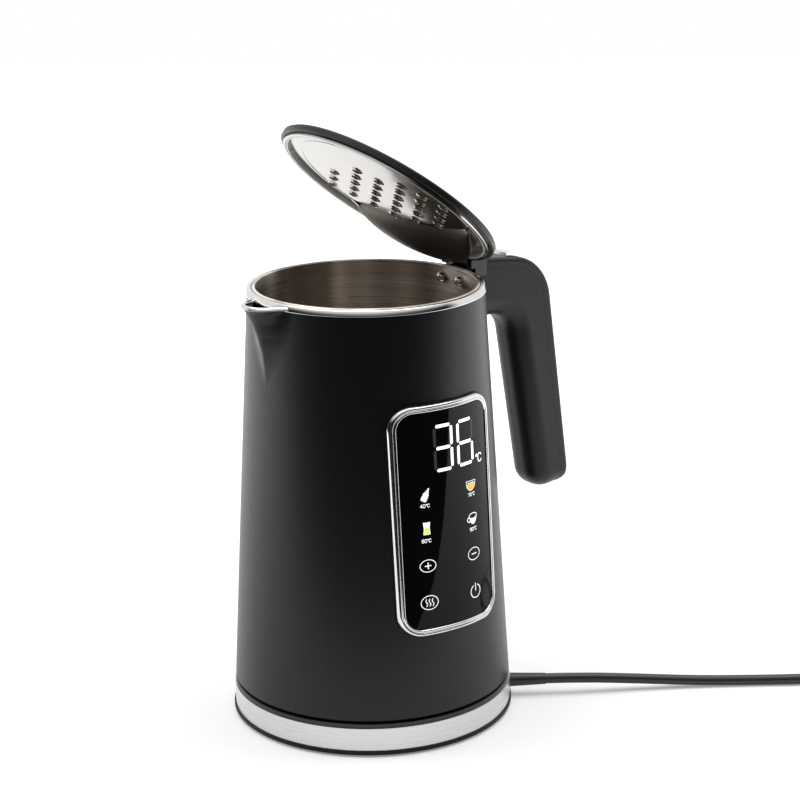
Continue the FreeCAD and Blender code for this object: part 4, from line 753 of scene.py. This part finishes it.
def print_keys(white):
    for x in (MORE_X, LESS_X):
        white.ring(x, MORE_Z, *MORE_RING)
        white.stroke([(x - MORE_BAR, MORE_Z), (x + MORE_BAR, MORE_Z)], MORE_BAR_W)
    white.stroke([(MORE_X, MORE_Z - MORE_BAR), (MORE_X, MORE_Z + MORE_BAR)], MORE_BAR_W)
    white.ring(*HEAT_RING)
    for x in HEAT_WAVES:
        shares = [i / HEAT_STEPS for i in range(HEAT_STEPS + 1)]
        white.stroke([(x + HEAT_W * math.sin(math.tau * s), HEAT_Z + HEAT_H * s) for s in shares], HEAT_W)
    white.ring(*POWER_RING)
    white.stroke(POWER_STEM, POWER_W)


def make_print():
    sheets = {name: Print() for name in ("lit", "faint", "white", "amber", "lime")}
    white = sheets["white"]
    print_numbers(sheets["lit"], sheets["faint"])
    print_bottle(white)
    print_bowl(white, sheets["amber"])
    print_glass(white, sheets["lime"])
    print_cup(white)
    print_keys(white)
    for label in LABELS:
        write(white, *label, *LABEL_SIZE)
    for name, sheet in sheets.items():
        add_piece("print_" + name, sheet.points, sheet.faces, "jug", "light_guide", "print_" + name)


# The lid's underside

HINGE = (69.0, 243.5)
LID_OPEN = math.radians(38.5)
PLATE_Z = 243.4
# steam holes in a staggered grid, wider towards the hinge
HOLE_X = 8.4
HOLE_Y = 9.8
HOLE_COLUMNS = 3
HOLE_ROWS = 5
HOLE_WIDENS = 3
HOLE_STEPS = 20
# a drawn edge round a steam hole, as radius and how far it stands out of the plate
HOLE_EDGE = ((3.9, -0.05), (3.2, 0.3), (2.6, 0.75), (2.3, 0.72), (2.2, 0.3), (2.2, -0.3), (3.2, -0.3))


def lid_point(x, y, z):
    """From the closed lid's place to where it stands open."""
    back, up = x - HINGE[0], z - HINGE[1]
    turn_c, turn_s = math.cos(LID_OPEN), math.sin(LID_OPEN)
    return Vector((HINGE[0] + back * turn_c + up * turn_s, y, HINGE[1] - back * turn_s + up * turn_c))


def hole_places():
    for i in range(-HOLE_COLUMNS, HOLE_COLUMNS + 1):
        for j in range(-HOLE_ROWS, HOLE_ROWS + 1):
            inside = abs(i) + abs(j) <= HOLE_ROWS and abs(j) <= HOLE_WIDENS * (i + HOLE_COLUMNS)
            if inside and (i + j) % 2:
                yield HOLE_X * i, HOLE_Y * j


def make_hole_edges():
    points, faces = [], []
    profile = smooth_loop(HOLE_EDGE, steps=3)
    for x, y in hole_places():
        rings = []
        for step in range(HOLE_STEPS):
            angle = math.tau * step / HOLE_STEPS
            way = Vector((math.cos(angle), math.sin(angle)))
            rings.append([lid_point(x + way.x * radius, y + way.y * radius, PLATE_Z - out)
                          for radius, out in profile])
        ring_points, ring_faces = loft(rings, True)
        faces += [tuple(k + len(points) for k in face) for face in ring_faces]
        points += ring_points
    add_piece("steam_hole_edges", points, faces, "lid", "polished_steel", "mirror_steel")


# the lid's ramp beside the hinge: its lip's radius, wall, reach round the lid and depth, where it leaves
# the plate, how far that line bows back at its ends, the powers of its curve down and of its ends, how
# far it stays under the plate, its steps, and the share of its reach that is made
RAMP_R = 54.0
RAMP_T = 0.6
RAMP_REACH = math.radians(69.0)
RAMP_DEPTH = 8.3
RAMP_FROM = 30.0
RAMP_BOW = 10.0
RAMP_CURVE = 1.8
RAMP_END = 4
RAMP_UNDER = 0.05
RAMP_STEPS = 12
RAMP_ACROSS_STEPS = 40
RAMP_ACROSS = 0.995


def ramp_section(angle):
    """Along the lid from the plate down to the lip and back up outside it."""
    across, lip = RAMP_R * math.sin(angle), RAMP_R * math.cos(angle)
    start = RAMP_FROM - RAMP_BOW * (math.sin(angle) / math.sin(RAMP_REACH)) ** 2
    depth = RAMP_DEPTH * (1 - (angle / RAMP_REACH) ** RAMP_END)
    shares = [i / RAMP_STEPS for i in range(RAMP_STEPS + 1)]
    down = [(between(start, lip, share), depth * (1 - (1 - share) ** RAMP_CURVE)) for share in shares]
    outer = lip + RAMP_T * math.cos(angle)
    section = [*down, (outer, depth), (outer, 0.0)]
    return [lid_point(x, across, PLATE_Z - RAMP_UNDER - low) for x, low in section]


def make_ramp():
    steps = range(-RAMP_ACROSS_STEPS, RAMP_ACROSS_STEPS + 1)
    rings = [ramp_section(RAMP_REACH * RAMP_ACROSS * i / RAMP_ACROSS_STEPS) for i in steps]
    # the ramp wears the darkened steel, whose colour holds a painted reflection of the pot below
    add_piece("lid_ramp", *loft(rings, False), "lid", "polished_steel", "ramp_steel")


make_skin()
make_rim()
make_lip()
make_bezel()
make_print()
make_hole_edges()
make_ramp()


# The worktop, backdrop and light, in metres

FLOOR_FRONT = -0.28
FLOOR_BACK = 3.0
FLOOR_SIDE = 2.5
FLOOR_COLOUR = (0.86, 0.86, 0.86)
# how much the floor glows to what sees it, near the object and far from it, and where that changes
FLOOR_LIFT = 0.2
FLOOR_LIFT_FAR = 0.9
FLOOR_FADE = (0.28, 0.9)


def math_node(nodes, links, operation, first, second):
    node = nodes.new("ShaderNodeMath")
    node.operation = operation
    links.new(first, node.inputs[0])
    links.new(second, node.inputs[1])
    return node.outputs[0]


def seen_directly(nodes, links):
    """One for camera, glossy and transmission rays, and nought for the light that falls on the object."""
    path = nodes.new("ShaderNodeLightPath")
    total = path.outputs["Is Camera Ray"]
    for kind in ("Is Glossy Ray", "Is Transmission Ray"):
        total = math_node(nodes, links, "MAXIMUM", total, path.outputs[kind])
    return total


def floor_material():
    """Matt white, with a glow that grows away from the object, so that its shadow stays."""
    material = bpy.data.materials.new("floor")
    material.use_nodes = True
    nodes, links = material.node_tree.nodes, material.node_tree.links
    nodes.clear()
    matt = nodes.new("ShaderNodeBsdfDiffuse")
    matt.inputs["Color"].default_value = (*FLOOR_COLOUR, 1.0)
    place = nodes.new("ShaderNodeTexCoord")
    reach = nodes.new("ShaderNodeVectorMath")
    reach.operation = "LENGTH"
    links.new(place.outputs["Object"], reach.inputs[0])
    fade = map_range(nodes, links, reach.outputs["Value"], FLOOR_FADE, FLOOR_LIFT, FLOOR_LIFT_FAR, True)
    glow = nodes.new("ShaderNodeEmission")
    lift = math_node(nodes, links, "MULTIPLY", seen_directly(nodes, links), fade)
    links.new(lift, glow.inputs["Strength"])
    both = nodes.new("ShaderNodeAddShader")
    links.new(matt.outputs[0], both.inputs[0])
    links.new(glow.outputs[0], both.inputs[1])
    out = nodes.new("ShaderNodeOutputMaterial")
    links.new(both.outputs[0], out.inputs["Surface"])
    return material


def make_floor():
    """A white worktop whose front edge stands between the object and the camera."""
    mesh = bpy.data.meshes.new("floor")
    corners = [(-FLOOR_SIDE, FLOOR_FRONT), (FLOOR_SIDE, FLOOR_FRONT), (FLOOR_SIDE, FLOOR_BACK),
               (-FLOOR_SIDE, FLOOR_BACK)]
    mesh.from_pydata([RIGHT * u + AWAY * w for u, w in corners], [], [(0, 1, 2, 3)])
    mesh.materials.append(floor_material())
    floor = bpy.data.objects.new("floor", mesh)
    scene.collection.objects.link(floor)


# the world's light on the object, and what gleams in it: a dark front that turns white behind and above
WORLD_FILL = 0.4
WORLD_FRONT = 0.02
WORLD_BEHIND = 1.0
WORLD_TURN = (-0.12, 0.22)
WORLD_ABOVE = 0.9
WORLD_ABOVE_FROM = (0.3, 0.75)


def make_world():
    """White to the camera, a white backdrop behind and a dark room in front to what gleams."""
    world = bpy.data.worlds.new("studio")
    scene.world = world
    world.use_nodes = True
    nodes, links = world.node_tree.nodes, world.node_tree.links
    background = nodes["Background"]
    background.inputs["Color"].default_value = (1.0, 1.0, 1.0, 1.0)
    place = nodes.new("ShaderNodeTexCoord").outputs["Generated"]
    along = nodes.new("ShaderNodeVectorMath")
    along.operation = "DOT_PRODUCT"
    along.inputs[1].default_value = AWAY
    links.new(place, along.inputs[0])
    behind = map_range(nodes, links, along.outputs["Value"], WORLD_TURN, WORLD_FRONT, WORLD_BEHIND, True)
    parts = nodes.new("ShaderNodeSeparateXYZ")
    links.new(place, parts.inputs[0])
    above = map_range(nodes, links, parts.outputs["Z"], WORLD_ABOVE_FROM, 0.0, WORLD_ABOVE, True)
    gleam = math_node(nodes, links, "MAXIMUM", behind, above)
    path = nodes.new("ShaderNodeLightPath")
    strength = WORLD_FILL
    for kind, value in (("Is Glossy Ray", gleam), ("Is Transmission Ray", 1.0), ("Is Camera Ray", 1.0)):
        pick = nodes.new("ShaderNodeMix")
        links.new(path.outputs[kind], pick.inputs["Factor"])
        for socket, source in (("A", strength), ("B", value)):
            if isinstance(source, float):
                pick.inputs[socket].default_value = source
            else:
                links.new(source, pick.inputs[socket])
        strength = pick.outputs["Result"]
    links.new(strength, background.inputs["Strength"])


LIGHT_AIM = Vector((0.0, 0.0, 0.12))


def soft_light(name, right, away, height, width, depth, power, gleams):
    data = bpy.data.lights.new(name, "AREA")
    data.shape = "RECTANGLE"
    data.size = width
    data.size_y = depth
    data.energy = power
    lamp = bpy.data.objects.new(name, data)
    scene.collection.objects.link(lamp)
    lamp.location = RIGHT * right + AWAY * away + UP * height
    lamp.visible_glossy = gleams
    lamp.rotation_mode = "QUATERNION"
    lamp.rotation_quaternion = (lamp.location - LIGHT_AIM).to_track_quat("Z", "Y")


make_floor()
make_world()
soft_light("top_light", right=0.0, away=0.15, height=1.5, width=1.6, depth=1.2, power=18.0, gleams=True)
for name, side in (("left_light", -1.3), ("right_light", 1.3)):
    soft_light(name, right=side, away=0.1, height=0.7, width=0.7, depth=1.2, power=7.0, gleams=False)
